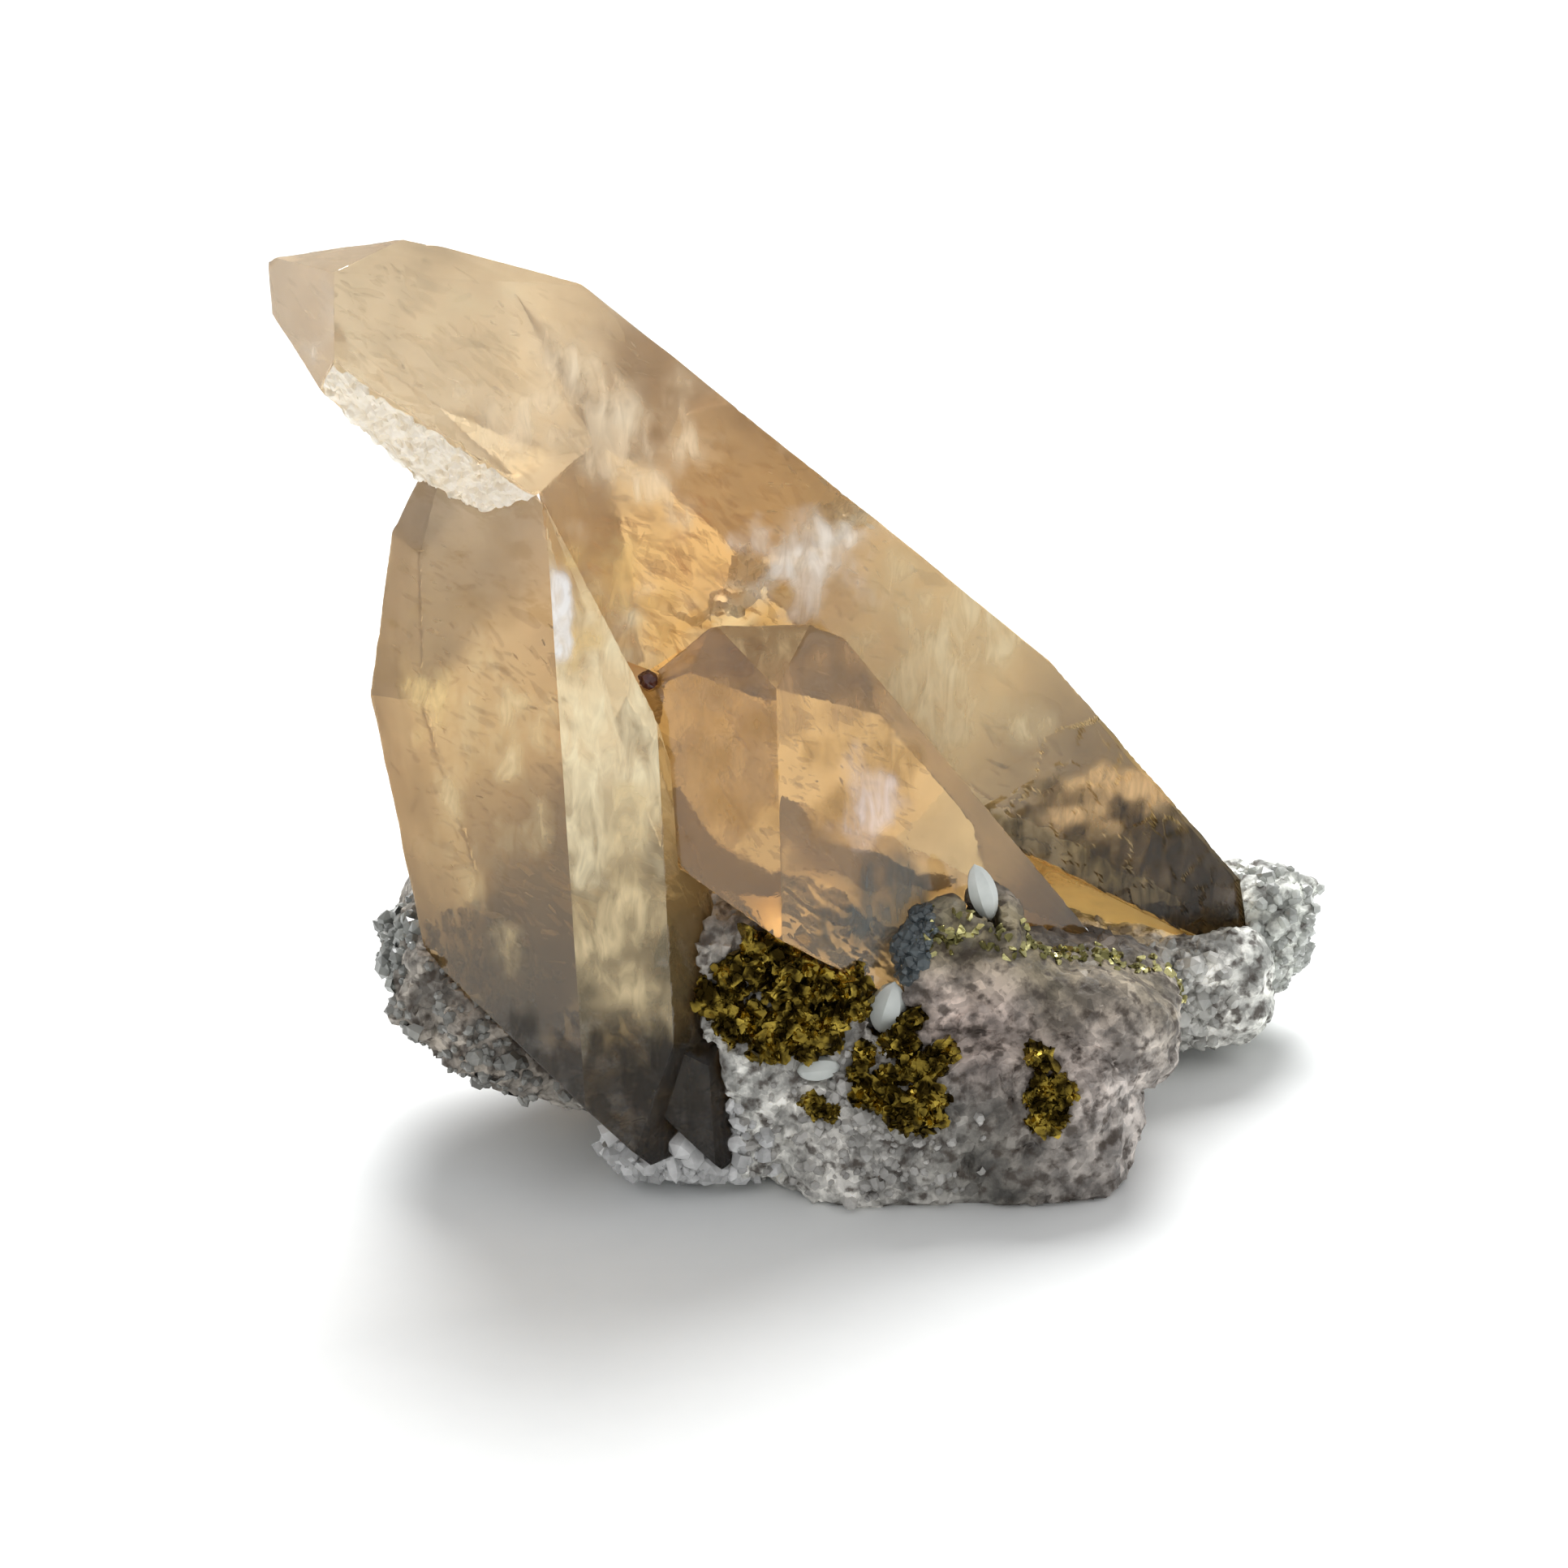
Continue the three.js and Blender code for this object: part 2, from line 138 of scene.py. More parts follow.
# Films on the calcite's skin: milky ones, dark ones towards the crystals' feet, and a few that are painted
# light, noted at each: a point, reach, bearing and rise of the face if it keeps to one, share, size of its
# clouds, and colour.
SKIN_FILMS = {
    # Painted light: a cream film that stands in for light thrown back by cleavage inside the left crystal.
    "front_painted_light": ((-13, -16, 37), (7, 7, 9), (269, 13.5), 1.3, 3, "#fff0c8"),
    "front_low": ((-12, -19, 25), (7, 7, 9), (269, 13.5), 0.75, 3, "#eed8aa"),
    "front_top": ((-14.5, -13, 48), (5, 5, 7), (269, 13.5), 0.5, 2, "#f7d694"),
    # Painted highlight: a white bar of light along the left crystal's ridge.
    "ridge_painted_highlight": ((-16.9, -13.2, 46), (1, 3, 3.2), (269, 13.5), 1.2, 1.5, "#ffffff"),
    "tip": ((-35, -11, 69), (5, 6, 5), (221, 8), 0.4, 2.4, "#f7eee0"),
    "upper": ((-20, -9, 62), (16, 12, 10), (284, 11), 0.4, 4, "#f6e3c4"),
    "upper_streaks": ((-12, -8, 57), (14, 9, 10), (284, 11), 0.32, 2.6, "#ffe8c4"),
    "orange": ((-8, -10, 46.5), (7, 6, 6), (284, 11), 0.42, 2.4, "#f6c878"),
    "crack": ((1.5, -7.2, 47.5), (9, 4, 5), (284, 11), 0.5, 2, "#fff6ea"),
    "milky": ((13, -3, 38), (13, 9, 12), (290.5, -1), 0.6, 4, "#e6d3aa"),
    # Painted glow: light that shines through the leaning crystal's foot.
    "glow": ((26.6, 2.5, 24.4), (4.6, 4, 2.4), (290.5, -1), 1.5, 1.6, "#ffd49a"),
    # Painted glow: light that comes through the crystal and out of this downward face.
    "gold": ((21, -2, 18), (9, 6, 6), (252, -45), 1.2, 2, "#ffd07a"),
    "middle_top": ((1, -13, 41.5), (9, 8, 6), (270.5, 32.5), 0.9, 2, "#cdb083"),
    "middle_left": ((-2, -16, 35), (5, 5, 7), (248, 9.5), 0.5, 2.4, "#b48b55"),
    "middle_right": ((6, -13, 34), (6, 6, 8), (305.5, 9.5), 0.7, 2.4, "#a5804e"),
    "middle_haze": ((5.5, -14, 31), (5, 5, 5), (305.5, 9.5), 0.42, 2, "#f3e0d6"),
    "middle_crown": ((1, -13, 40), (9, 6, 4.5), None, 0.8, 2.4, "#b8946a"),
    "middle_foot": ((8, -15, 22.5), (5, 5, 4), (305.5, 9.5), 1.1, 1.5, "#5d6362"),
    "left_amber": ((-28, -7, 38), (4, 5, 6), (239, 10), 0.42, 2, "#ffe0a0"),
    "left_streaks": ((-22, -13, 31), (8, 7, 14), (239, 10), 0.36, 2.6, "#f0d8a8"),
    "left_foot": ((-18, -19, 10), (10, 7, 5), (239, 10), 0.85, 1.3, "#30281c"),
    "front_foot": ((-11, -21, 10), (8, 6, 5), (269, 13.5), 0.85, 1.3, "#2d2519"),
    "foot_crystal": ((-4, -20, 7), (7, 6, 7), None, 1.6, 1.6, "#1d1711"),
    "smoky": ((22, 1, 20.5), (12, 7, 5.5), (290.5, -1), 0.72, 1.8, "#2c2316"),
    "smoky_end": ((31, 5, 16), (7, 6, 6), (290.5, -1), 1.3, 1.8, "#231c13"),
}
FILM_LIFT = 0.02  # how far the first film is off the skin, in millimetres
FILM_STEP = 0.2  # how much further each next one is, as a share of that
FILM_OPEN = (290, 10)  # where a film that keeps to no face is lifted to

# Host rock: places where its colour changes, as for the calcite.
ROCK_ZONES = {
    "front": ((16.5, -21, 7), 4.6, "#524f48", None),
    "front_left": ((5, -20, 5), 5, "#cdcac4", None),
    "pink_band": ((14, -18.5, 15.4), 2.8, "#cfbcb4", None),
    "pink_right": ((22, -18, 12), 3, "#b9aaa2", None),
    "right_side": ((26, -16, 7), 5, "#b3aba5", None),
    "ledge_left": ((12, -16, 20.3), 2.6, "#756a49", None),
    "ledge": ((19.5, -15.5, 17.6), 3, "#70664a", None),
    "ledge_right": ((27, -12.5, 13.8), 3, "#6e6347", None),
    "ledge_back": ((24, -5, 17), 4, "#3f3125", None),
    "slate": ((7, -16, 21), 3.5, "#55595a", None),
    "right_lumps": ((32, 2, 6), 5, "#ebe9e3", None),
    "right_knob": ((41, 12, 9), 6, "#dcdfd8", None),
    "left_crust": ((-24, -12, 11), 7, "#8f877d", None),
    "left_knob": ((-30, -8, 17), 4, "#9a958d", None),
    "front_foot": ((-8, -18, 4), 5, "#e4e4de", None),
    "back": ((8, 20, 8), 16, "#918a82", None),
}
SMOOTH_ROCK = ("ledge_left", "ledge", "ledge_right")
SMOOTH_REACH = 3
ROCK_SEAT = 0.35  # how far the rock grows to close the CAD's clearance

# Glassy druse on the rock: middle, reach, crystals, size and colour.
DRUSE = {
    "left_crust": ((-23, -13, 11), 7, 260, 0.45, "#a3a29c"),
    "left_knob": ((-30, -8, 17), 4, 140, 0.5, "#a9aba6"),
    "front_foot": ((-8, -19, 3), 6, 420, 0.6, "#ffffff"),
    "slate": ((7, -16, 21.5), 4, 420, 0.4, "#626b6f"),
    "right_lumps": ((32, 2, 6.5), 5, 160, 0.55, "#e9e8e2"),
    "right_knob": ((41, 12, 9), 5, 220, 0.55, "#e4e7e1"),
    "front": ((6, -20, 5), 8, 200, 0.4, "#d6d3ce"),
}

# Chalcopyrite on each crust: crystals and their size.
CHALCOPYRITE = {
    "upper": (900, 0.62),
    "lower": (560, 0.62),
    "right": (230, 0.52),
    "small": (90, 0.45),
}
# The fine brassy rim along the top of the ledge.
RIM_ROUTE = [
    (8.5, -15.5, 21), (12, -15.2, 20.6), (16, -14, 19.6), (22, -11.5, 17.6), (27, -9, 15), (31, -6.5, 12)]
RIM_REACH = 0.9
RIM_CRYSTALS = 260
RIM_SIZE = 0.32

# Small white crystals: length, width, thickness, lean to the right in degrees, and how blunt the ends are.
WHITE_CRYSTALS = {
    "front": (4.6, 3, 2.4, 14, 0.75),
    "upper": (5, 2.3, 1.8, -16, 0.6),
    "small": (3.4, 2, 1.8, 82, 0.5),
}

# The stage: half the floor's side in metres, and the lamp's spread, lean to the front and lean aside in
# degrees.
FLOOR_REACH = 3
LAMP_SPREAD = 38
LAMP_LEAN = -42
LAMP_ASIDE = 4


# Numbers and shapes as whole arrays


def linear(code):
    """The linear colour, with full alpha, of an sRGB hex code."""
    shares = np.array([int(code[i:i + 2], 16) for i in (1, 3, 5)]) / 255
    straight = np.where(shares <= 0.04045, shares / 12.92, ((shares + 0.055) / 1.055) ** 2.4)
    return (*straight.tolist(), 1.0)


def towards(bearing, rise):
    """The unit vector at a compass bearing (0 is +X, 270 is the front) and a rise above level, in degrees."""
    turn, lift = math.radians(bearing), math.radians(rise)
    return np.array([math.cos(lift) * math.cos(turn), math.cos(lift) * math.sin(turn), math.sin(lift)])


def eased(values, low, high):
    """0 below low, 1 above high, and the smooth cubic 3t^2 - 2t^3 between them."""
    share = np.clip((values - low) / (high - low), 0, 1)
    return share * share * (3 - 2 * share)


def hashed(cells, seed):
    """A repeatable number from 0 to 1 for each row of three whole numbers: the bits are mixed by large odd
    factors and shifts."""
    whole = cells.astype(np.int64).astype(np.uint64)
    factors = np.array([73856093, 19349663, 83492791], np.uint64)
    mixed = (whole * factors).sum(axis=-1, dtype=np.uint64) + np.uint64(seed * 40503 + 977)
    for shift, factor in ((15, 0x85EBCA6B), (13, 0xC2B2AE35)):
        mixed = (mixed ^ (mixed >> np.uint64(shift))) * np.uint64(factor)
        mixed = mixed & np.uint64(0xFFFFFFFF)
    return (mixed ^ (mixed >> np.uint64(16))).astype(float) / 2**32


def noise(points, size, seed=0):
    """Smooth noise from 0 to 1: chance numbers on a lattice of the given size, blended by an eased cubic."""
    spot = points / size
    low = np.floor(spot)
    ease = (spot - low) ** 2 * (3 - 2 * (spot - low))
    total = np.zeros(len(points))
    for corner in np.ndindex(2, 2, 2):
        weight = np.prod(np.where(corner, ease, 1 - ease), axis=1)
        total += weight * hashed(low + corner, seed)
    return total


def facets(points, size, seed=0):
    """Broken grains: space is parted into cells around jittered lattice points, and each cell is one flat of
    its own height and tilt. Gives the height, about -1 to 1, and a chance number that each cell has."""
    spot = points / size
    cell = np.floor(spot)
    nearest = np.full(len(spot), np.inf)
    middle = np.zeros_like(spot)
    owner = np.zeros_like(spot)
    for step in np.ndindex(3, 3, 3):
        other = cell + np.array(step) - 1
        place = other + np.stack([hashed(other, seed + axis) for axis in range(3)], axis=1)
        distance = np.linalg.norm(spot - place, axis=1)
        closer = distance < nearest
        nearest[closer] = distance[closer]
        middle[closer] = place[closer]
        owner[closer] = other[closer]
    tilt = 2 * np.stack([hashed(owner, seed + axis) for axis in (3, 4, 5)], axis=1) - 1
    height = hashed(owner, seed + 6) - 0.5
    return height + np.sum(tilt * (spot - middle), axis=1), hashed(owner, seed + 7)


def zone_colours(points, normals, zones):
    """The colour at each point: the zones' linear colours, weighed by a bell curve of the distance to each. A
    zone that keeps to a face counts only where the normal is near that face's."""
    total = np.zeros((len(points), 4))
    weights = np.full((len(points), 1), 1e-9)
    wander = np.stack([noise(points, 3.5, seed) - 0.5 for seed in (71, 72, 73)], axis=1)
    places = points + ZONE_WANDER * wander
    for middle, reach, code, facing in zones.values():
        away = np.linalg.norm(places - np.array(middle), axis=1, keepdims=True) / reach
        weight = np.exp(-0.5 * away**2) + 1e-4 / (1 + away**4)
        if facing:
            weight = weight * (eased(normals @ towards(*facing), 0.93, 0.985)[:, None] + 1e-4)
        total += weight * np.array(linear(code))
        weights += weight
    return total / weights


def node_surface(name):
    """A CAD node's corners in millimetres and its triangles, with equal corners merged."""
    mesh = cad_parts[name].data
    mesh.calc_loop_triangles()
    corners = np.empty(3 * len(mesh.vertices), np.float32)
    mesh.vertices.foreach_get("co", corners)
    triangles = np.empty(3 * len(mesh.loop_triangles), np.int32)
    mesh.loop_triangles.foreach_get("vertices", triangles)
    merged, index = np.unique(np.round(corners.reshape(-1, 3) / MM, 3), axis=0, return_inverse=True)
    triangles = index.ravel()[triangles].reshape(-1, 3)
    ordered = np.sort(triangles, axis=1)
    whole = (ordered[:, 0] < ordered[:, 1]) & (ordered[:, 1] < ordered[:, 2])
    return merged.astype(float), triangles[whole]


def surface_normals(points, triangles):
    """Each triangle's area vector, and at each point the mean of its triangles' unit normals weighed by area.
    The mean is as long as 1 on a flat and shorter on an edge."""
    a, b, c = (points[triangles[:, k]] for k in range(3))
    area = np.cross(b - a, c - a) / 2
    size = np.linalg.norm(area, axis=1)
    total = np.zeros_like(points)
    weight = np.zeros(len(points))
    for k in range(3):
        np.add.at(total, triangles[:, k], area)
        np.add.at(weight, triangles[:, k], size)
    return area, total / np.maximum(weight, 1e-12)[:, None]


def refined(points, triangles, longest):
    """Halves every edge longer than the limit until none is left. A triangle with one, two or three halved
    edges becomes two, three or four."""
    while True:
        edges = np.sort(triangles[:, [[0, 1], [1, 2], [2, 0]]], axis=2).reshape(-1, 2)
        pairs, owner = np.unique(edges, axis=0, return_inverse=True)
        long = np.linalg.norm(points[pairs[:, 0]] - points[pairs[:, 1]], axis=1) > longest
        if not long.any():
            return points, triangles
        middle = np.full(len(pairs), -1)
        middle[long] = len(points) + np.arange(long.sum())
        points = np.vstack([points, points[pairs[long]].mean(axis=1)])
        halves = middle[owner.ravel()].reshape(-1, 3)
        count = (halves >= 0).sum(axis=1)
        parts = [triangles[count == 0]]
        for k in range(3):
            turned = np.roll(triangles, -k, axis=1)
            cut = np.roll(halves, -k, axis=1)
            one = (count == 1) & (cut[:, 0] >= 0)
            a, b, c = turned[one].T
            m = cut[one, 0]
            parts += [np.stack([a, m, c], 1), np.stack([m, b, c], 1)]
            two = (count == 2) & (cut[:, 0] < 0)
            a, b, c = turned[two].T
            m, n = cut[two, 1], cut[two, 2]
            parts += [np.stack([a, b, m], 1), np.stack([a, m, n], 1), np.stack([n, m, c], 1)]
        three = count == 3
        a, b, c = triangles[three].T
        m, n, o = halves[three].T
        parts += [np.stack(corner, 1) for corner in ((a, m, o), (m, b, n), (o, n, c), (m, n, o))]
        triangles = np.vstack(parts)


def inside(points, corners, triangles):
    """Whether each point lies in a closed surface: seen from it, the triangles' solid angles then add up to a
    whole sphere. A triangle's half angle is the arc tangent of its corners' triple product over the sum of
    their lengths' product and each dot product times the third length."""
    found = []
    for part in np.array_split(points, max(1, len(points) // 3000)):
        a, b, c = (corners[triangles[:, k]][None] - part[:, None] for k in range(3))
        la, lb, lc = (np.linalg.norm(side, axis=2) for side in (a, b, c))
        triple = np.sum(a * np.cross(b, c), axis=2)
        share = la * lb * lc + np.sum(a * b, 2) * lc + np.sum(b * c, 2) * la + np.sum(c * a, 2) * lb
        found.append(2 * np.arctan2(triple, share).sum(axis=1) > 2 * math.pi)
    return np.concatenate(found)


def spread_over(points, triangles, weights, count, draw):
    """Random places on a surface and the outward normals there: a triangle is drawn by area times weight, and
    a place in it by two shares folded back into the triangle."""
    area, _ = surface_normals(points, triangles)
    size = np.linalg.norm(area, axis=1)
    odds = size * weights
    chosen = draw.choice(len(triangles), count, p=odds / odds.sum())
    u, v = draw.random((2, count, 1))
    over = u + v > 1
    u, v = np.where(over, 1 - u, u), np.where(over, 1 - v, v)
    a, b, c = (points[triangles[chosen, k]] for k in range(3))
    return a + u * (b - a) + v * (c - a), area[chosen] / np.maximum(size[chosen], 1e-9)[:, None]


def set_upright(form, places, upright, sizes, draw):
    """Copies of a small form, given as corners about its seat: each copy's third axis is its upright, its
    first axis is turned at random about it, and its three sizes stretch the form. Gives all the corners."""
    aside = np.cross(upright, draw.normal(size=upright.shape))
    aside /= np.linalg.norm(aside, axis=1, keepdims=True)
    axes = np.stack([aside, np.cross(upright, aside), upright], axis=1)
    return places[:, None] + np.einsum("nvk,nkx->nvx", form[None] * sizes[:, None], axes)


def repeated(triangles, corners, count):
    """The triangles of one form, repeated for copies that have their corners one after the other."""
    return (triangles[None] + corners * np.arange(count)[:, None, None]).reshape(-1, 3)


def stub_form(sides=6):
    """A stubby pointed crystal: a ring at the seat, a ring above it and an apex. Corners and triangles."""
    turn = 2 * math.pi * np.arange(sides) / sides
    ring = np.stack([np.cos(turn), np.sin(turn), np.zeros(sides)], axis=1)
    corners = np.vstack([ring * 0.9 - [0, 0, 0.5], ring * 0.75 + [0, 0, 0.55], [[0.1, 0, 1.1]]])
    i = np.arange(sides)
    j = (i + 1) % sides
    walls = [(i, j, j + sides), (i, j + sides, i + sides), (i + sides, j + sides, np.full(sides, 2 * sides))]
    return corners, np.vstack([np.stack(wall, 1) for wall in walls])


def wedge_form():
    """A sphenoid: a tetrahedron with its four corners cut flat, as chalcopyrite grows. Each corner of the
    solid is about a fifth of the way along an edge. Corners and triangles."""
    tips = np.array([[1, 1, 1], [1, -1, -1], [-1, 1, -1], [-1, -1, 1]], float)
    order = [(a, b) for a in range(4) for b in range(4) if a != b]
    corners = np.array([tips[a] * 0.78 + tips[b] * 0.22 for a, b in order])
    middle = corners.mean(axis=0)
    rings = [[order.index((a, b)) for b in range(4) if b != a] for a in range(4)]
    for left_out in range(4):
        kept = [a for a in range(4) if a != left_out]
        a, b, c = kept
        rings.append([order.index(pair) for pair in ((a, b), (b, a), (b, c), (c, b), (c, a), (a, c))])
    triangles = []
    for ring in rings:
        outwards = corners[ring].mean(axis=0) - middle
        first, second, third = corners[ring[:3]]
        if np.dot(np.cross(second - first, third - first), outwards) < 0:
            ring = ring[::-1]
        triangles += [(ring[0], ring[k], ring[k + 1]) for k in range(1, len(ring) - 1)]
    return corners, np.array(triangles)


# Pieces


def make_piece(name, points, triangles, material, replaced=None, colours=None, frost=None, crease=None):
    """Puts arrays into a mesh that rides on the specimen. Edges sharper than the crease, in degrees, stay
    sharp, and with no crease every facet is flat. Colours become an attribute of the points, or of the
    triangles' corners where there is one for each. Frost, or a film's cover, is one of the points."""
    mesh = bpy.data.meshes.new(name)
    mesh.vertices.add(len(points))
    mesh.vertices.foreach_set("co", (points * MM).astype(np.float32).ravel())
    mesh.loops.add(triangles.size)
    mesh.loops.foreach_set("vertex_index", triangles.astype(np.int32).ravel())
    mesh.polygons.add(len(triangles))
    mesh.polygons.foreach_set("loop_start", np.arange(0, triangles.size, 3, dtype=np.int32))
    mesh.polygons.foreach_set("use_smooth", np.full(len(triangles), crease is not None))
    mesh.update(calc_edges=True)
    if crease is not None:
        mesh.set_sharp_from_angle(angle=math.radians(crease))
    if colours is not None:
        domain = "POINT" if len(colours) == len(points) else "CORNER"
        tint = mesh.attributes.new("tint", "FLOAT_COLOR", domain)
        tint.data.foreach_set("color", colours.astype(np.float32).ravel())
    if frost is not None:
        grade = mesh.attributes.new("frost", "FLOAT", "POINT")
        grade.data.foreach_set("value", frost.astype(np.float32))
    mesh.materials.append(material)
    piece = bpy.data.objects.new(name, mesh)
    bpy.context.scene.collection.objects.link(piece)
    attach(piece, "root")
    if replaced:
        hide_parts(replaced)
    return piece


# Materials


def add(tree, kind, settings, inputs):
    """Adds a node with its settings. Each input is a value, or an output socket to link from."""
    node = tree.nodes.new(kind)
    for name, value in settings.items():
        setattr(node, name, value)
    for name, value in inputs.items():
        if isinstance(value, bpy.types.NodeSocket):
            tree.links.new(value, node.inputs[name])
        else:
            node.inputs[name].default_value = value
    return node


def new_material(name):
    """An empty node material: the material, its tree, and Object coordinates to draw patterns on."""
    material = bpy.data.materials.new(name)
    material.use_nodes = True
    tree = material.node_tree
    tree.nodes.clear()
    place = add(tree, "ShaderNodeTexCoord", {}, {}).outputs["Object"]
    return material, tree, place


def per_metre(size):
    """A pattern's scale on Object coordinates, from its size in millimetres."""
    return 1 / (size * MM)


def attribute(tree, name, output="Color"):
    """An attribute of the mesh, as a socket."""
    return add(tree, "ShaderNodeAttribute", {"attribute_name": name}, {}).outputs[output]


def clouds(tree, place, size, detail, **more):
    """Noise of a size in millimetres at the given coordinates: a value about 0.5."""
    inputs = {"Vector": place, "Scale": per_metre(size), "Detail": detail, **more}
    return add(tree, "ShaderNodeTexNoise", {}, inputs).outputs["Fac"]


def ranged(tree, value, low, high, start=0.0, end=1.0):
    """A value brought from start and end to low and high, and held there."""
    node = add(tree, "ShaderNodeMapRange", {}, {
        "Value": value, "From Min": start, "From Max": end, "To Min": low, "To Max": high})
    return node.outputs["Result"]


def scaled(tree, colour, factor):
    """A colour made brighter or darker."""
    node = add(tree, "ShaderNodeVectorMath", {"operation": "SCALE"}, {"Vector": colour, "Scale": factor})
    return node.outputs["Vector"]


def blended(tree, share, first, second):
    """Two colours mixed by the share of the second."""
    return add(tree, "ShaderNodeMix", {"data_type": "RGBA"}, {0: share, 6: first, 7: second}).outputs[2]


def bumped(tree, height, strength, distance):
    """A normal that is bumped by a height, with the distance in millimetres."""
    node = add(tree, "ShaderNodeBump", {}, {
        "Strength": strength, "Distance": distance * MM, "Height": height})
    return node.outputs["Normal"]


def surfaced(tree, inputs, volume=None):
    """Ends a material with a Principled surface and, if there is one, a volume."""
    ends = {"Surface": add(tree, "ShaderNodeBsdfPrincipled", {}, inputs).outputs[0]}
    if volume is not None:
        ends["Volume"] = volume
    add(tree, "ShaderNodeOutputMaterial", {}, ends)


def honey_calcite(look):
    """Clear honey calcite, grown from solution: smooth faces that let light through, a milky body colour that
    the eye sees as depth, and etched or broken faces that are frosted. In a few zones the tint is painted
    light, brighter where light comes out of the crystal."""
    material, tree, place = new_material("honey_calcite")
    shade = ranged(tree, clouds(tree, place, 5, 5.0), 0.8, 1.12, 0.3, 0.7)
    depth = add(tree, "ShaderNodeVolumeAbsorption", {}, {
        "Color": tuple(look.absorption_colour), "Density": look.absorption_density})
    surfaced(tree, {
        "Base Color": scaled(tree, attribute(tree, "tint"), shade),
        "Roughness": ranged(tree, attribute(tree, "frost", "Fac"), look.clear_roughness, 0.55),
        "IOR": look.ior,
        "Transmission Weight": look.transmission,
        "Normal": bumped(tree, clouds(tree, place, 1.4, 4.0), 0.25, 0.1)}, depth.outputs[0])
    return material


def cleavage_veil(name, opacity):
    """Cleavage cracks inside calcite: thin silvery films that show the honey colour around them. Given a
    white tint, the same material makes the painted glints.
    """
    material, tree, place = new_material(name)
    surfaced(tree, {
        "Base Color": attribute(tree, "tint"),
        "Roughness": 0.25,
        "Alpha": opacity,
        "Normal": bumped(tree, clouds(tree, place, 0.5, 3.0), 0.4, 0.05)})
    return material


def skin_film():
    """A thin film on calcite, milky or dark, and in places painted light: its cover fades softly, in flakes
    drawn out along the cleavage that are each a little more or less see-through."""
    material, tree, place = new_material("skin_film")
    drawn = add(tree, "ShaderNodeMapping", {}, {
        "Vector": place, "Rotation": (0.6, -0.7, 0.3), "Scale": (1.0, 1.0, 0.3)})
    flakes = clouds(tree, drawn.outputs["Vector"], 1.2, 4.0, Distortion=0.8)
    seen = add(tree, "ShaderNodeMath", {"operation": "MULTIPLY"}, {
        0: attribute(tree, "frost", "Fac"), 1: ranged(tree, flakes, 0.3, 0.85, 0.35, 0.65)})
    surfaced(tree, {
        "Base Color": attribute(tree, "tint"), "Roughness": 0.5, "Alpha": seen.outputs["Value"]})
    return material


def broken_calcite():
    """Crushed calcite along a break: white, sugary and half see-through, with small glints."""
    material, tree, place = new_material("broken_calcite")
    grit = clouds(tree, place, 0.6, 5.0)
    surfaced(tree, {
        "Base Color": blended(tree, grit, linear("#eee4cc"), linear("#ffffff")),
        "Roughness": 0.35,
        "IOR": 1.58,
        "Transmission Weight": 0.35,
        "Normal": bumped(tree, grit, 0.6, 0.15)})
    return material


def sugary_rock(look):
    """Carbonate host rock, broken by hand: packed pale grains in lighter and darker beds, with brown dust in
    the pits between them."""
    material, tree, place = new_material("sugary_host_rock")
    grains = add(tree, "ShaderNodeTexVoronoi", {}, {"Vector": place, "Scale": per_metre(look.grain)})
    each = add(tree, "ShaderNodeSeparateColor", {}, {"Color": grains.outputs["Color"]})
    pale = scaled(tree, attribute(tree, "tint"), ranged(tree, each.outputs["Red"], 0.72, 1.3))
    beds = clouds(tree, place, 2.6, 6.0, Roughness=0.6)
    pale = scaled(tree, pale, ranged(tree, beds, 0.5, 1.5, 0.4, 0.6))
    pits = ranged(tree, clouds(tree, place, 1.1, 6.0), 0.0, 0.85, 0.5, 0.64)
    surfaced(tree, {
        "Base Color": blended(tree, pits, pale, linear("#3f342b")),
        "Roughness": ranged(tree, each.outputs["Green"], 0.45, 0.95),
        "IOR": 1.55,
        "Normal": bumped(tree, clouds(tree, place, 0.35, 4.0), 0.6, 0.15)})
    return material


def glassy_druse():
    """Small dolomite and quartz crystals: glossy and half see-through, each a little different in shade."""
    material, tree, place = new_material("glassy_druse")
    shade = ranged(tree, clouds(tree, place, 1.2, 4.0), 0.7, 1.1, 0.3, 0.7)
    surfaced(tree, {
        "Base Color": scaled(tree, attribute(tree, "tint"), shade),
        "Roughness": 0.25,
        "IOR": 1.55,
        "Transmission Weight": 0.25})
    return material


def tarnished_chalcopyrite(name, brass, tarnish):
    """Chalcopyrite, a brass-yellow ore: bright metal facets with an olive-brown tarnish in patches."""
    material, tree, place = new_material(name)
    share = ranged(tree, clouds(tree, place, 1.3, 4.0), 0.0, 1.0, 0.42, 0.62)
    surfaced(tree, {
        "Base Color": blended(tree, share, (*tarnish, 1), (*brass, 1)),
        "Metallic": 1.0,
        "Roughness": ranged(tree, share, 0.5, 0.22),
        "Normal": bumped(tree, clouds(tree, place, 0.25, 3.0), 0.4, 0.05)})
    return material


def white_spar():
    """White calcite spar: smooth, waxy and faintly see-through."""
    material, tree, place = new_material("white_spar")
    milk = clouds(tree, place, 1.6, 4.0)
    surfaced(tree, {
        "Base Color": blended(tree, milk, linear("#c8cfcb"), linear("#f6f9f5")),
        "Roughness": 0.3,
        "IOR": 1.58,
        "Transmission Weight": 0.2})
    return material


def resinous_sphalerite():
    """Sphalerite: a dark red-brown grain with a resin shine and ruby lights."""
    material, tree, place = new_material("resinous_sphalerite")
    ruby = clouds(tree, place, 0.7, 3.0)
    surfaced(tree, {
        "Base Color": blended(tree, ruby, linear("#220a05"), linear("#5d1f0d")),
        "Roughness": 0.4,
        "IOR": 1.7})
    return material


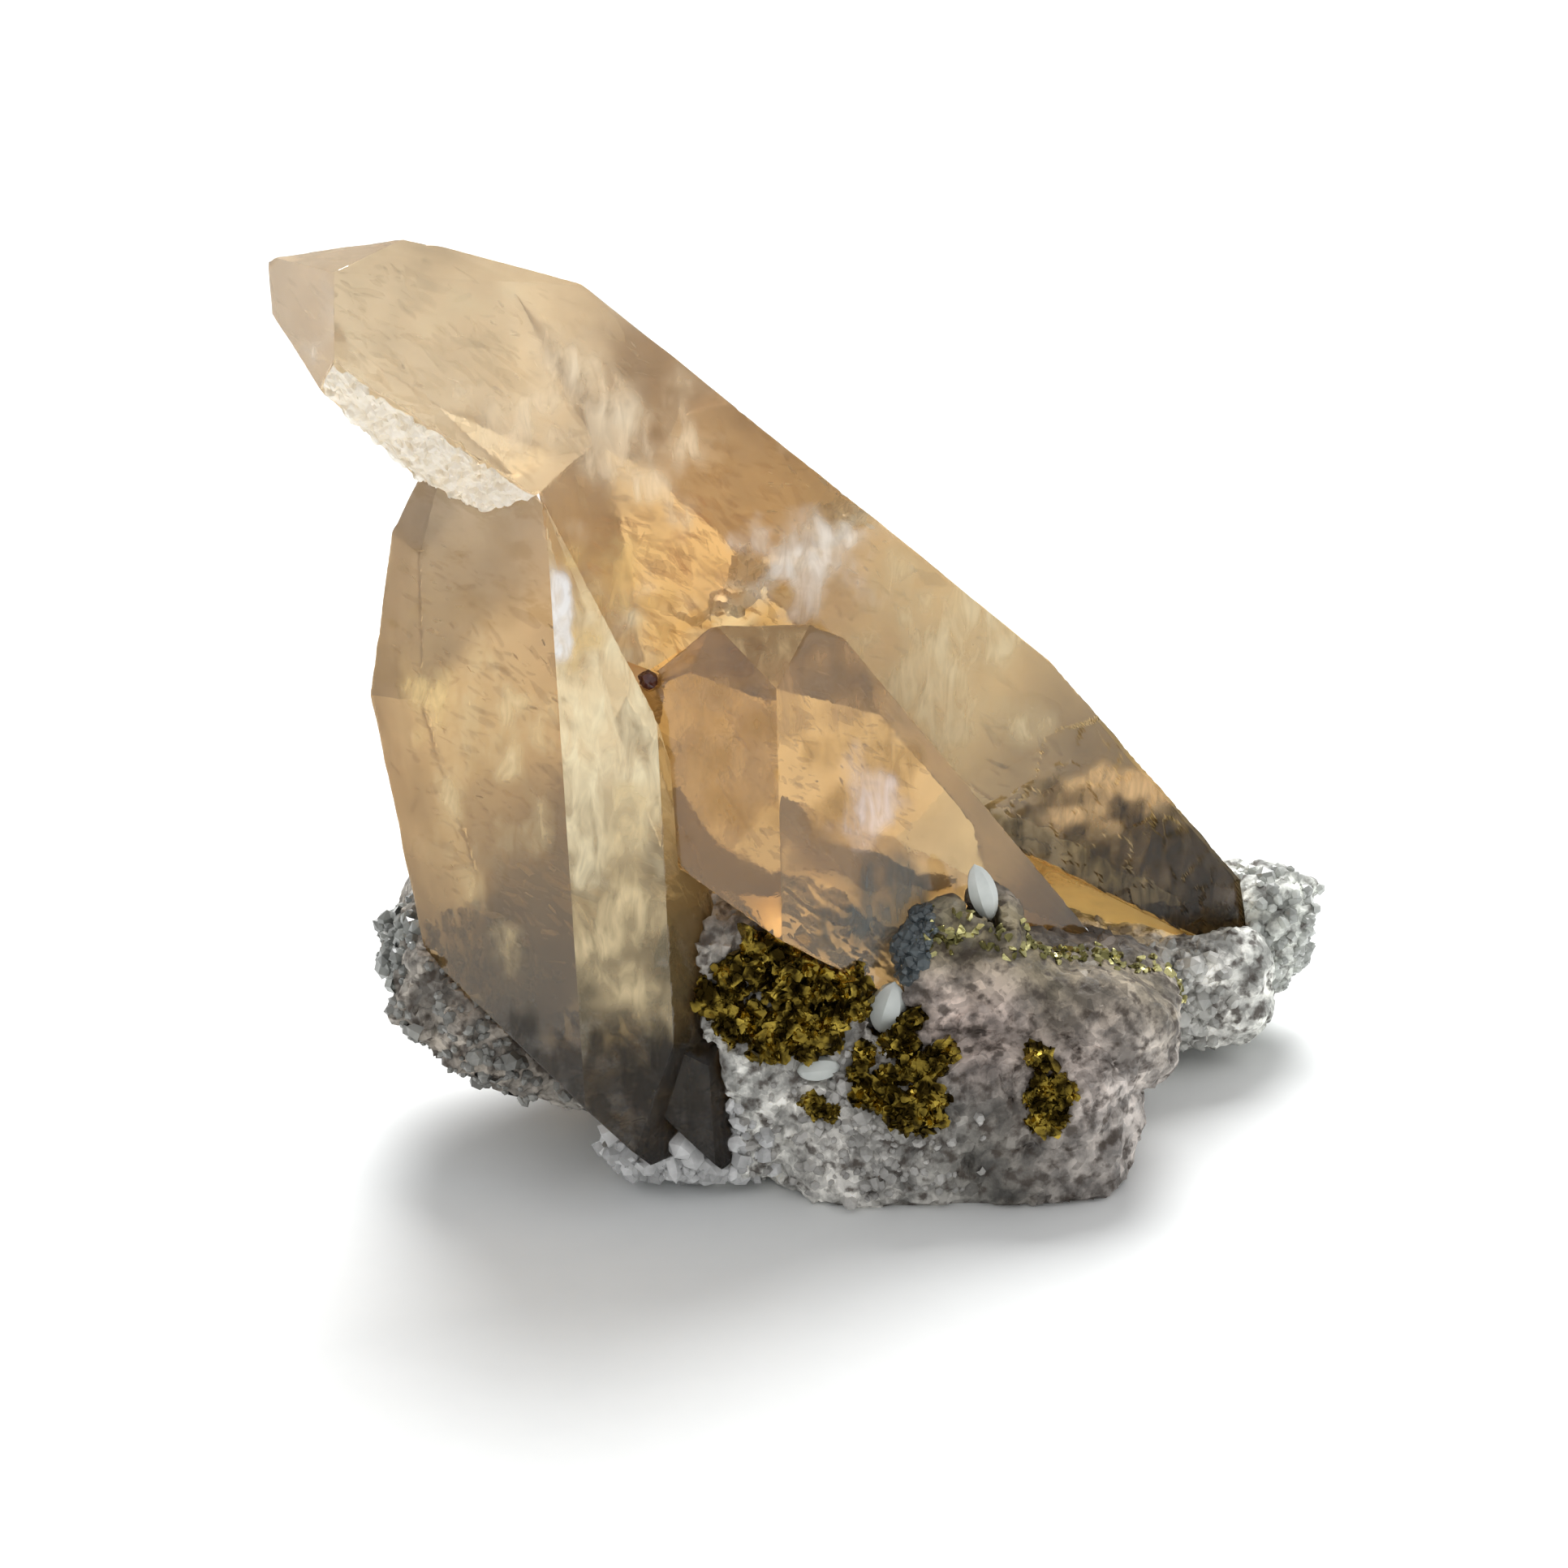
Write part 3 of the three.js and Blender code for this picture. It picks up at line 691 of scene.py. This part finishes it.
def white_paper():
    """Matt white paper sweep, with the faint unevenness of its fibres."""
    material, tree, place = new_material("white_paper")
    fibres = clouds(tree, place, 4, 3.0)
    surfaced(tree, {
        "Base Color": blended(tree, fibres, linear("#f3f5f5"), linear("#f7f9f9")), "Roughness": 0.9})
    return material


# Settings


class CalciteSettings(bpy.types.PropertyGroup):
    """Sizes and looks of the calcite."""

    edge: bpy.props.FloatProperty(
        name="Facet", description="Longest edge of the refined surface, in millimetres", default=0.7, min=0.3)
    ior: bpy.props.FloatProperty(name="IOR", description="Refraction of calcite", default=1.58, min=1, max=2)
    transmission: bpy.props.FloatProperty(
        name="Clearness", description="Share of light that passes through", default=0.84, min=0, max=1,
        subtype="FACTOR")
    clear_roughness: bpy.props.FloatProperty(
        name="Clear roughness", description="Roughness of a smooth growth face", default=0.07, min=0, max=1,
        subtype="FACTOR")
    absorption_colour: bpy.props.FloatVectorProperty(
        name="Honey", description="Colour that the crystal's depth lets through", size=4, subtype="COLOR",
        default=linear("#f0d796"), min=0, max=1)
    absorption_density: bpy.props.FloatProperty(
        name="Honey depth", description="Absorption for each metre of crystal", default=24, min=0)
    veil_opacity: bpy.props.FloatProperty(
        name="Veil opacity", description="How much a cleavage film hides", default=0.3, min=0, max=1,
        subtype="FACTOR")
    # Opacity of the white slivers that are painted glints.
    painted_glint_opacity: bpy.props.FloatProperty(
        name="Glint opacity", description="How much a white glint hides", default=0.9, min=0, max=1,
        subtype="FACTOR")


class RockSettings(bpy.types.PropertyGroup):
    """Sizes of the host rock's surface and grains."""

    voxel: bpy.props.FloatProperty(
        name="Facet", description="Size of the remeshed rock's facets, in millimetres", default=0.38, min=0.3)
    grain: bpy.props.FloatProperty(
        name="Grain", description="Size of the rock's grains, in millimetres", default=0.9, min=0.3)
    relief: bpy.props.FloatProperty(
        name="Relief", description="Height of the rock's broken grains, in millimetres", default=0.55, min=0)


class OreSettings(bpy.types.PropertyGroup):
    """Colours of the chalcopyrite."""

    brass: bpy.props.FloatVectorProperty(
        name="Brass", description="Fresh chalcopyrite", subtype="COLOR", default=linear("#a48d3c")[:3])
    tarnish: bpy.props.FloatVectorProperty(
        name="Tarnish", description="Tarnished chalcopyrite", subtype="COLOR", default=linear("#33280d")[:3])
    rim: bpy.props.FloatVectorProperty(
        name="Rim", description="Fresh crystals of the ledge's rim", subtype="COLOR",
        default=linear("#cfc88e")[:3])
    rim_tarnish: bpy.props.FloatVectorProperty(
        name="Rim tarnish", description="Tarnished crystals of the ledge's rim", subtype="COLOR",
        default=linear("#7b774c")[:3])


class StageSettings(bpy.types.PropertyGroup):
    """The camera and the light."""

    distance: bpy.props.FloatProperty(
        name="Distance", description="From the camera to the specimen", default=0.3, unit="LENGTH")
    elevation: bpy.props.FloatProperty(
        name="Elevation", description="Angle that the camera looks down", default=math.radians(22),
        subtype="ANGLE")
    target_height: bpy.props.FloatProperty(
        name="Target", description="Height that the camera looks at", default=0.027, unit="LENGTH")
    lens: bpy.props.FloatProperty(
        name="Lens", description="Focal length on a 36 mm sensor, in millimetres", default=86.1)
    sky: bpy.props.FloatProperty(name="Sky", description="Strength of the white surroundings", default=0.64)
    lamp: bpy.props.FloatProperty(name="Lamp", description="Strength of the light from behind", default=4.1)


# Operators


class SPECIMEN_OT_calcite(bpy.types.Operator):
    """Builds the calcite crystals that are grown together, their broken lip and the films on their skin"""

    bl_idname = "specimen.calcite"
    bl_label = "Calcite crystals"

    def execute(self, context):
        look = context.scene.specimen_calcite
        points, triangles = refined(*node_surface("calcite_crystals"), look.edge)
        area, mean = surface_normals(points, triangles)
        flatness = np.linalg.norm(mean, axis=1)
        normals = mean / np.maximum(flatness, 1e-9)[:, None]

        growth = 0.1 * (noise(points, 4, 1) - 0.5) + 0.05 * (noise(points, 1.5, 2) - 0.5)
        wear = 0.5 * (1 - flatness) * noise(points, 1.1, 3)
        lip = eased(normals @ towards(*LIP_FACE), 0.88, 0.97)
        lip *= 1 - eased(np.linalg.norm(points - np.array(LIP_MIDDLE), axis=1), 14, 20)
        hackle = lip * 0.35 * facets(points, 1.6, 4)[0]
        step = self.skin_loss(points, normals)
        shift = growth - wear + hackle - SKIN_DEPTH * step
        shift += 0.12 * step * facets(points, 2.2, 9)[0]

        backward = eased(normals[:, 1], -0.1, 0.3)
        downward = eased(-normals[:, 2], 0.3, 0.6)
        etched = eased(noise(points, 3, 5), 0.62, 0.75) * 0.35
        frost = np.clip(np.maximum.reduce([0.6 * backward, 0.8 * downward, lip, etched]), 0, 1)
        faces = np.repeat(area / np.linalg.norm(area, axis=1, keepdims=True), 3, axis=0)
        ends = points[triangles].reshape(-1, 3)
        # The tint holds painted light in a few zones, noted in their table.
        colours = zone_colours(ends, faces, CALCITE_ZONES)
        colours = self.feathered(ends, colours)
        worn = points + shift[:, None] * normals
        make_piece("calcite_surface", worn, triangles, honey_calcite(look),
                   "calcite_crystals", colours, frost, crease=20)
        self.lip(worn, triangles, lip)
        self.skin_films(worn, triangles, faces[::3])
        return {"FINISHED"}

    def skin_films(self, points, triangles, outward):
        """Films on the skin: the surface's own facets on a face, lifted off by a hair. A film's cover at a
        point grows with noise and its share, and falls with the square of the distance from its middle."""
        corners, pieces, colours, covers = [], [], [], []
        count = 0
        for seed, (middle, reach, face, share, size, code) in enumerate(SKIN_FILMS.values()):
            away = np.linalg.norm((points - np.array(middle)) / np.array(reach), axis=1)
            cloud = 0.8 * noise(points, size, 80 + seed) + 0.2 * noise(points, size / 3, 120 + seed)
            cover = eased(cloud - 0.35 * away**2 + share / 2, 0.5, 1.0)
            kept = cover[triangles].max(axis=1) > 0.02
            if face:
                kept &= outward @ towards(*face) > 0.95
            used, index = np.unique(triangles[kept], return_inverse=True)
            lie = towards(*(face or FILM_OPEN))
            corners.append(points[used] + FILM_LIFT * (1 + FILM_STEP * seed) * lie)
            pieces.append(index.reshape(-1, 3) + count)
            colours.append(np.tile(np.array(linear(code)), (len(used), 1)))
            covers.append(cover[used])
            count += len(used)
        make_piece("calcite_films", np.vstack(corners), np.vstack(pieces), skin_film(), None,
                   np.vstack(colours), np.concatenate(covers), crease=20)

    def feathered(self, points, colours):
        """Pales the colour along the feathery crack, by a bell curve of the distance to it, in streaks."""
        start, end = (np.array(point) for point in CRACK_ENDS)
        along = np.clip((points - start) @ (end - start) / np.sum((end - start) ** 2), 0, 1)
        away = np.linalg.norm(points - start - along[:, None] * (end - start), axis=1)
        ragged = away + 2.4 * (noise(points, 1.2, 7) - 0.5)
        share = np.exp(-((ragged / CRACK_WIDTH) ** 2)) * eased(noise(points, 0.7, 8), 0.2, 0.6)
        return colours + share[:, None] * (np.array(linear("#fff3da")) - colours)

    def lip(self, points, triangles, share):
        """The crushed white skin on the broken lip: the surface's own facets there, lifted off by grains of
        broken calcite."""
        skin = triangles[share[triangles].min(axis=1) > 0.4]
        used, index = np.unique(skin, return_inverse=True)
        fine, skin = refined(points[used], index.reshape(-1, 3), 0.4)
        lift = 0.3 + 0.45 * facets(fine, 1.1, 14)[0] + 0.2 * facets(fine, 0.5, 15)[0]
        crushed = fine + np.maximum(lift, 0.02)[:, None] * towards(*LIP_FACE)
        make_piece("calcite_broken_lip", crushed, skin, broken_calcite())

    def skin_loss(self, points, normals):
        """1 where the milky skin is gone from the leaning crystal's front: to the right of and below the
        break line, measured in the plane of that front, with a ragged edge."""
        face = towards(*SKIN_FACE)
        line = np.array(SKIN_BREAK, float)
        across = np.cross([0, 0, 1], face)
        across /= np.linalg.norm(across)
        flat = np.stack([points @ across, points[:, 2]], axis=1)
        bend = np.stack([line @ across, line[:, 2]], axis=1)
        ragged = 0.8 * (noise(points, 1.3, 6) - 0.5)
        order = np.argsort(bend[:, 0])
        level = np.interp(flat[:, 0], bend[order, 0], bend[order, 1])
        below = eased(level - flat[:, 1] + ragged, -0.1, 0.35)
        started = eased(flat[:, 0], bend[:, 0].min(), bend[:, 0].min() + 0.6)
        on_face = eased(normals @ face, 0.93, 0.985)
        depth = (points - line[2]) @ face
        return below * started * on_face * (np.abs(depth) < 0.5)


class SPECIMEN_OT_veils(bpy.types.Operator):
    """Builds the cleavage films inside the calcite, and the white slivers in it that are painted glints"""

    bl_idname = "specimen.veils"
    bl_label = "Cleavage veils"

    def execute(self, context):
        look = context.scene.specimen_calcite
        draw = np.random.default_rng(11)
        self.films("calcite_veils", VEILS, cleavage_veil("cleavage_veil", look.veil_opacity), draw)
        # Painted glints: white slivers that stand in for light flashing off the cleavage cracks.
        self.films("calcite_painted_glints", PAINTED_GLINTS, cleavage_veil("painted_cleavage_glint", look.painted_glint_opacity), draw)
        return {"FINISHED"}

    def films(self, name, clouds, material, draw):
        """Thin irregular films: a fan of points around an ellipse whose radius is jittered, drawn out along
        the cleavage. Only films that lie wholly in the crystals are kept."""
        corners, triangles = node_surface("calcite_crystals")
        rim = 8
        turn = 2 * math.pi * np.arange(rim) / rim
        points, colours = [], []
        for middle, half, count, size, lie, code in clouds.values():
            places = np.array(middle) + np.array(half) * draw.uniform(-1, 1, (count, 3))
            upright = towards(*lie) + draw.normal(0, 0.28, (count, 3))
            upright /= np.linalg.norm(upright, axis=1, keepdims=True)
            along = np.cross(upright, towards(30, 50) + draw.normal(0, 0.3, (count, 3)))
            along /= np.linalg.norm(along, axis=1, keepdims=True)
            across = np.cross(upright, along)
            reach = 0.7 * size * draw.lognormal(0, 0.5, (count, 1, 1)) * draw.uniform(0.4, 1, (count, rim, 1))
            slim = draw.uniform(0.08, 0.35, (count, 1, 1))
            ring = reach * (np.cos(turn)[None, :, None] * along[:, None]
                            + slim * np.sin(turn)[None, :, None] * across[:, None])
            film = np.concatenate([places[:, None], places[:, None] + ring], axis=1)
            kept = inside(film.reshape(-1, 3), corners, triangles).reshape(count, -1).all(axis=1)
            film = film[kept]
            shade = np.array(linear(code)) * draw.uniform(0.7, 1, (len(film), 1))
            points.append(film.reshape(-1, 3))
            colours.append(np.repeat(shade, rim + 1, axis=0))
        points = np.vstack(points)
        spoke = np.arange(rim)
        fan = np.stack([np.zeros(rim, int), spoke + 1, (spoke + 1) % rim + 1], axis=1)
        fans = repeated(fan, rim + 1, len(points) // (rim + 1))
        make_piece(name, points, fans, material, None, np.vstack(colours))


class SPECIMEN_OT_breaks(bpy.types.Operator):
    """Builds the white crushed calcite of the feathery crack"""

    bl_idname = "specimen.breaks"
    bl_label = "Feathery crack"

    def execute(self, context):
        corners, triangles = node_surface("calcite_crystals")
        start, end = (np.array(point) for point in CRACK_ENDS)
        inwards = np.array(CRACK_INWARDS) / np.linalg.norm(CRACK_INWARDS)
        rows, columns = 60, 28
        u, v = np.meshgrid(np.linspace(0, 1, rows), np.linspace(0, 1, columns), indexing="ij")
        sheet = start + u[..., None] * (end - start) + v[..., None] * CRACK_DEPTH * inwards
        points = sheet.reshape(-1, 3)
        upright = np.cross(end - start, inwards)
        upright /= np.linalg.norm(upright)
        wave = 1.6 * (noise(points, 2.5, 21) - 0.5) + 0.5 * facets(points, 1.1, 22)[0]
        points = points + upright * wave[:, None]
        feather = v.ravel() < 0.25 + 0.75 * noise(points * [1, 1, 0.4], 1.8, 23)
        kept = inside(points, corners, triangles) & feather
        grids = np.meshgrid(np.arange(rows - 1), np.arange(columns - 1), indexing="ij")
        i, j = (grid.ravel() for grid in grids)
        a = i * columns + j
        b = a + columns
        cells = np.vstack([np.stack([a, b, a + 1], 1), np.stack([a + 1, b, b + 1], 1)])
        cells = cells[kept[cells].all(axis=1)]
        used, index = np.unique(cells, return_inverse=True)
        make_piece("calcite_crack", points[used], index.reshape(-1, 3), broken_calcite())
        return {"FINISHED"}


def remeshed(name, voxel):
    """A CAD node's closed outer surface as even facets of one size, by a voxel remesh of a merged copy.
    Corners in millimetres and triangles."""
    points, triangles = node_surface(name)
    mesh = bpy.data.meshes.new("remesh_copy")
    mesh.from_pydata((points * MM).tolist(), [], triangles.tolist())
    copy = bpy.data.objects.new("remesh_copy", mesh)
    bpy.context.scene.collection.objects.link(copy)
    remesh = copy.modifiers.new("even_facets", "REMESH")
    remesh.mode = "VOXEL"
    remesh.voxel_size = voxel * MM
    smooth = copy.modifiers.new("smooth", "SMOOTH")
    smooth.iterations = 2
    done = copy.evaluated_get(bpy.context.evaluated_depsgraph_get())
    even = done.to_mesh()
    even.calc_loop_triangles()
    corners = np.empty(3 * len(even.vertices), np.float32)
    even.vertices.foreach_get("co", corners)
    faces = np.empty(3 * len(even.loop_triangles), np.int32)
    even.loop_triangles.foreach_get("vertices", faces)
    done.to_mesh_clear()
    bpy.data.objects.remove(copy)
    bpy.data.meshes.remove(mesh)
    return corners.reshape(-1, 3).astype(float) / MM, faces.reshape(-1, 3)


class SPECIMEN_OT_rock(bpy.types.Operator):
    """Builds the host rock's broken, sugary surface, the druse on it and the ledge's fine rim"""

    bl_idname = "specimen.rock"
    bl_label = "Host rock"

    def execute(self, context):
        look = context.scene.specimen_rock
        points, triangles = remeshed("host_rock", look.voxel)
        _, mean = surface_normals(points, triangles)
        normals = mean / np.maximum(np.linalg.norm(mean, axis=1), 1e-9)[:, None]
        away = [np.linalg.norm(points - np.array(ROCK_ZONES[name][0]), axis=1) for name in SMOOTH_ROCK]
        smooth = sum(np.exp(-0.5 * (one / SMOOTH_REACH) ** 2) for one in away)
        crumbs = 0.6 * facets(points, 2.4, 31)[0] + 0.45 * facets(points, 1.1, 32)[0]
        shift = ROCK_SEAT + look.relief * crumbs * (1 - 0.75 * np.clip(smooth, 0, 1))
        moved = points + shift[:, None] * normals
        floor = points[:, 2] < 0.3
        moved[floor] = points[floor]
        moved[:, 2] = np.maximum(moved[:, 2], 0)
        make_piece("host_rock_surface", moved, triangles, sugary_rock(look), "host_rock",
                   zone_colours(moved, normals, ROCK_ZONES), crease=38)
        self.druse(moved, triangles)
        self.rim(moved, triangles, context.scene.specimen_ore)
        return {"FINISHED"}

    def rim(self, points, triangles, look):
        """Fine brassy crystals along the top of the ledge, on the facets near the route of the rim."""
        draw = np.random.default_rng(8)
        form, sides = wedge_form()
        middles = points[triangles].mean(axis=1)
        away = np.full(len(middles), np.inf)
        for start, end in zip(np.array(RIM_ROUTE[:-1]), np.array(RIM_ROUTE[1:])):
            along = np.clip((middles - start) @ (end - start) / np.sum((end - start) ** 2), 0, 1)
            away = np.minimum(away, np.linalg.norm(middles - start - along[:, None] * (end - start), axis=1))
        nearest = np.sort(away)[len(away) // 400]
        weights = np.exp(-((np.maximum(away - nearest, 0) / RIM_REACH) ** 2))
        places, upright = spread_over(points, triangles, weights, RIM_CRYSTALS, draw)
        scale = RIM_SIZE * draw.uniform(0.5, 1.3, (RIM_CRYSTALS, 3))
        wedges = set_upright(form, places, upright, scale, draw).reshape(-1, 3)
        make_piece("ledge_rim_crystals", wedges, repeated(sides, len(form), RIM_CRYSTALS),
                   tarnished_chalcopyrite("rim_chalcopyrite", look.rim, look.rim_tarnish))

    def druse(self, points, triangles):
        """Stubby crystals on the rock, each patch drawn from the facets within its reach."""
        draw = np.random.default_rng(5)
        form, walls = stub_form()
        middles = points[triangles].mean(axis=1)
        corners, colours = [], []
        for middle, reach, count, size, code in DRUSE.values():
            away = np.linalg.norm(middles - np.array(middle), axis=1) / reach
            weights = np.exp(-2 * away**2) * (away < 1.2) * (middles[:, 2] > 0.8)
            places, upright = spread_over(points, triangles, weights, count, draw)
            upright = upright + draw.normal(0, 0.45, upright.shape)
            upright /= np.linalg.norm(upright, axis=1, keepdims=True)
            scale = size * draw.lognormal(0, 0.3, (count, 1)) * draw.uniform(0.7, 1.2, (count, 3))
            made = set_upright(form, places, upright, scale, draw)
            made[..., 2] = np.maximum(made[..., 2], 0.02)
            corners.append(made.reshape(-1, 3))
            shade = np.array(linear(code)) * draw.uniform(0.6, 1.1, (count, 1))
            colours.append(np.repeat(shade, len(form), axis=0))
        corners = np.vstack(corners)
        stubs = repeated(walls, len(form), len(corners) // len(form))
        make_piece("rock_druse", corners, stubs, glassy_druse(), None, np.vstack(colours))


class SPECIMEN_OT_chalcopyrite(bpy.types.Operator):
    """Builds the brassy chalcopyrite crusts"""

    bl_idname = "specimen.chalcopyrite"
    bl_label = "Chalcopyrite"

    def execute(self, context):
        look = context.scene.specimen_ore
        material = tarnished_chalcopyrite("tarnished_chalcopyrite", look.brass, look.tarnish)
        draw = np.random.default_rng(3)
        form, sides = wedge_form()
        for place, (count, size) in CHALCOPYRITE.items():
            node = f"chalcopyrite_{place}"
            points, triangles = refined(*node_surface(node), 0.7)
            area, mean = surface_normals(points, triangles)
            crust = points + 0.25 * facets(points, 0.9, 41)[0][:, None] * mean
            outward = eased(-area[:, 1] / np.linalg.norm(area, axis=1), -0.3, 0.4) + 0.02
            places, upright = spread_over(crust, triangles, outward, count, draw)
            upright = draw.normal(0, 1, upright.shape)
            upright /= np.linalg.norm(upright, axis=1, keepdims=True)
            whole = 0.5 * size * draw.lognormal(0, 0.3, (count, 1))
            scale = whole * draw.uniform([0.5, 0.6, 1], [0.9, 1, 1.7], (count, 3))
            wedges = set_upright(form, places, upright, scale, draw).reshape(-1, 3)
            make_piece(f"{node}_crystals", np.vstack([crust, wedges]),
                       np.vstack([triangles, repeated(sides, len(form), count) + len(crust)]),
                       material, node)
        return {"FINISHED"}


def spindle(middle, length, width, thickness, lean, blunt):
    """A spindle-shaped crystal: rings of seven facets along an axis, as wide as the sine of the way along it,
    raised to the bluntness. The axis leans to the right. Corners and triangles."""
    rows, sides = 13, 7
    way = np.linspace(0, 1, rows)[:, None]
    turn = 2 * math.pi * np.arange(sides)[None] / sides
    girth = np.maximum(np.sin(math.pi * way), 0) ** blunt
    x = girth * np.cos(turn) * width / 2
    y = girth * np.sin(turn) * thickness / 2
    z = (way - 0.5) * length + 0 * turn
    tilt = math.radians(lean)
    aside, up = math.sin(tilt), math.cos(tilt)
    points = np.stack([x * up + z * aside, y, z * up - x * aside], 2)
    i, j = (grid.ravel() for grid in np.meshgrid(np.arange(rows - 1), np.arange(sides), indexing="ij"))
    a = i * sides + j
    b = i * sides + (j + 1) % sides
    walls = np.vstack([np.stack([a, b, b + sides], 1), np.stack([a, b + sides, a + sides], 1)])
    merged, index = np.unique(np.round(points.reshape(-1, 3), 5), axis=0, return_inverse=True)
    walls = index.ravel()[walls]
    ordered = np.sort(walls, axis=1)
    whole = (ordered[:, 0] < ordered[:, 1]) & (ordered[:, 1] < ordered[:, 2])
    return merged + middle, walls[whole]


class SPECIMEN_OT_white_crystals(bpy.types.Operator):
    """Builds the three small white crystals on the rock"""

    bl_idname = "specimen.white_crystals"
    bl_label = "White crystals"

    def execute(self, context):
        material = white_spar()
        for place, form in WHITE_CRYSTALS.items():
            node = f"white_crystal_{place}"
            low, high = (np.array(corner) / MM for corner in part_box(node))
            points, triangles = spindle((low + high) / 2, *form)
            points, triangles = refined(points, triangles, 0.5)
            _, mean = surface_normals(points, triangles)
            relief = 0.1 * (noise(points, 0.9, 51) - 0.5)
            make_piece(f"{node}_surface", points + relief[:, None] * mean, triangles, material,
                       node, crease=35)
        return {"FINISHED"}


class SPECIMEN_OT_sphalerite(bpy.types.Operator):
    """Builds the dark grain of sphalerite"""

    bl_idname = "specimen.sphalerite"
    bl_label = "Sphalerite grain"

    def execute(self, context):
        points, triangles = refined(*node_surface("sphalerite_grain"), 0.3)
        _, mean = surface_normals(points, triangles)
        chipped = points + 0.12 * facets(points, 0.5, 61)[0][:, None] * mean
        make_piece("sphalerite_surface", chipped, triangles, resinous_sphalerite(),
                   "sphalerite_grain")
        return {"FINISHED"}


class SPECIMEN_OT_stage(bpy.types.Operator):
    """Sets the floor, the light and the camera"""

    bl_idname = "specimen.stage"
    bl_label = "Stage"

    def execute(self, context):
        scene = context.scene
        look = scene.specimen_stage
        reach = FLOOR_REACH
        mesh = bpy.data.meshes.new("paper_floor")
        corners = [(-reach, -reach, 0), (reach, -reach, 0), (reach, reach, 0), (-reach, reach, 0)]
        mesh.from_pydata(corners, [], [(0, 1, 2, 3)])
        mesh.materials.append(white_paper())
        floor = bpy.data.objects.new("paper_floor", mesh)
        scene.collection.objects.link(floor)

        world = bpy.data.worlds.new("white_room")
        world.use_nodes = True
        world.node_tree.nodes["Background"].inputs["Color"].default_value = linear("#ffffff")
        world.node_tree.nodes["Background"].inputs["Strength"].default_value = look.sky
        scene.world = world

        light = bpy.data.lights.new("window_behind", "SUN")
        light.angle = math.radians(LAMP_SPREAD)
        light.energy = look.lamp
        lamp = bpy.data.objects.new("window_behind", light)
        lamp.rotation_euler = (math.radians(LAMP_LEAN), math.radians(LAMP_ASIDE), 0)
        scene.collection.objects.link(lamp)

        eye = bpy.data.cameras.new("camera")
        eye.lens = look.lens
        eye.sensor_width = 36
        eye.clip_start = 0.01
        camera = bpy.data.objects.new("camera", eye)
        camera.location = (0, -look.distance * math.cos(look.elevation),
                           look.target_height + look.distance * math.sin(look.elevation))
        camera.rotation_euler = (math.pi / 2 - look.elevation, 0, 0)
        scene.collection.objects.link(camera)
        scene.camera = camera

        scene.view_settings.view_transform = "Standard"
        scene.view_settings.look = "None"
        scene.cycles.max_bounces = 24
        scene.cycles.transmission_bounces = 24
        scene.cycles.transparent_max_bounces = 24
        return {"FINISHED"}


# Sidebar and registration

OPERATORS = (
    SPECIMEN_OT_calcite,
    SPECIMEN_OT_veils,
    SPECIMEN_OT_breaks,
    SPECIMEN_OT_rock,
    SPECIMEN_OT_chalcopyrite,
    SPECIMEN_OT_white_crystals,
    SPECIMEN_OT_sphalerite,
    SPECIMEN_OT_stage,
)
SETTINGS = {
    "specimen_calcite": CalciteSettings,
    "specimen_rock": RockSettings,
    "specimen_ore": OreSettings,
    "specimen_stage": StageSettings,
}


class SPECIMEN_PT_sidebar(bpy.types.Panel):
    """Lists the specimen's pieces"""

    bl_label = "Specimen"
    bl_idname = "SPECIMEN_PT_sidebar"
    bl_space_type = "VIEW_3D"
    bl_region_type = "UI"
    bl_category = "Specimen"

    def draw(self, context):
        for operator in OPERATORS:
            self.layout.operator(operator.bl_idname)


def register():
    for kind in (*SETTINGS.values(), *OPERATORS, SPECIMEN_PT_sidebar):
        bpy.utils.register_class(kind)
    for name, kind in SETTINGS.items():
        setattr(bpy.types.Scene, name, bpy.props.PointerProperty(type=kind))


def unregister():
    for name in SETTINGS:
        delattr(bpy.types.Scene, name)
    for kind in (SPECIMEN_PT_sidebar, *reversed(OPERATORS), *SETTINGS.values()):
        bpy.utils.unregister_class(kind)


def main():
    register()
    bpy.ops.specimen.calcite()
    bpy.ops.specimen.veils()
    bpy.ops.specimen.breaks()
    bpy.ops.specimen.rock()
    bpy.ops.specimen.chalcopyrite()
    bpy.ops.specimen.white_crystals()
    bpy.ops.specimen.sphalerite()
    bpy.ops.specimen.stage()


if __name__ == "__main__":
    main()
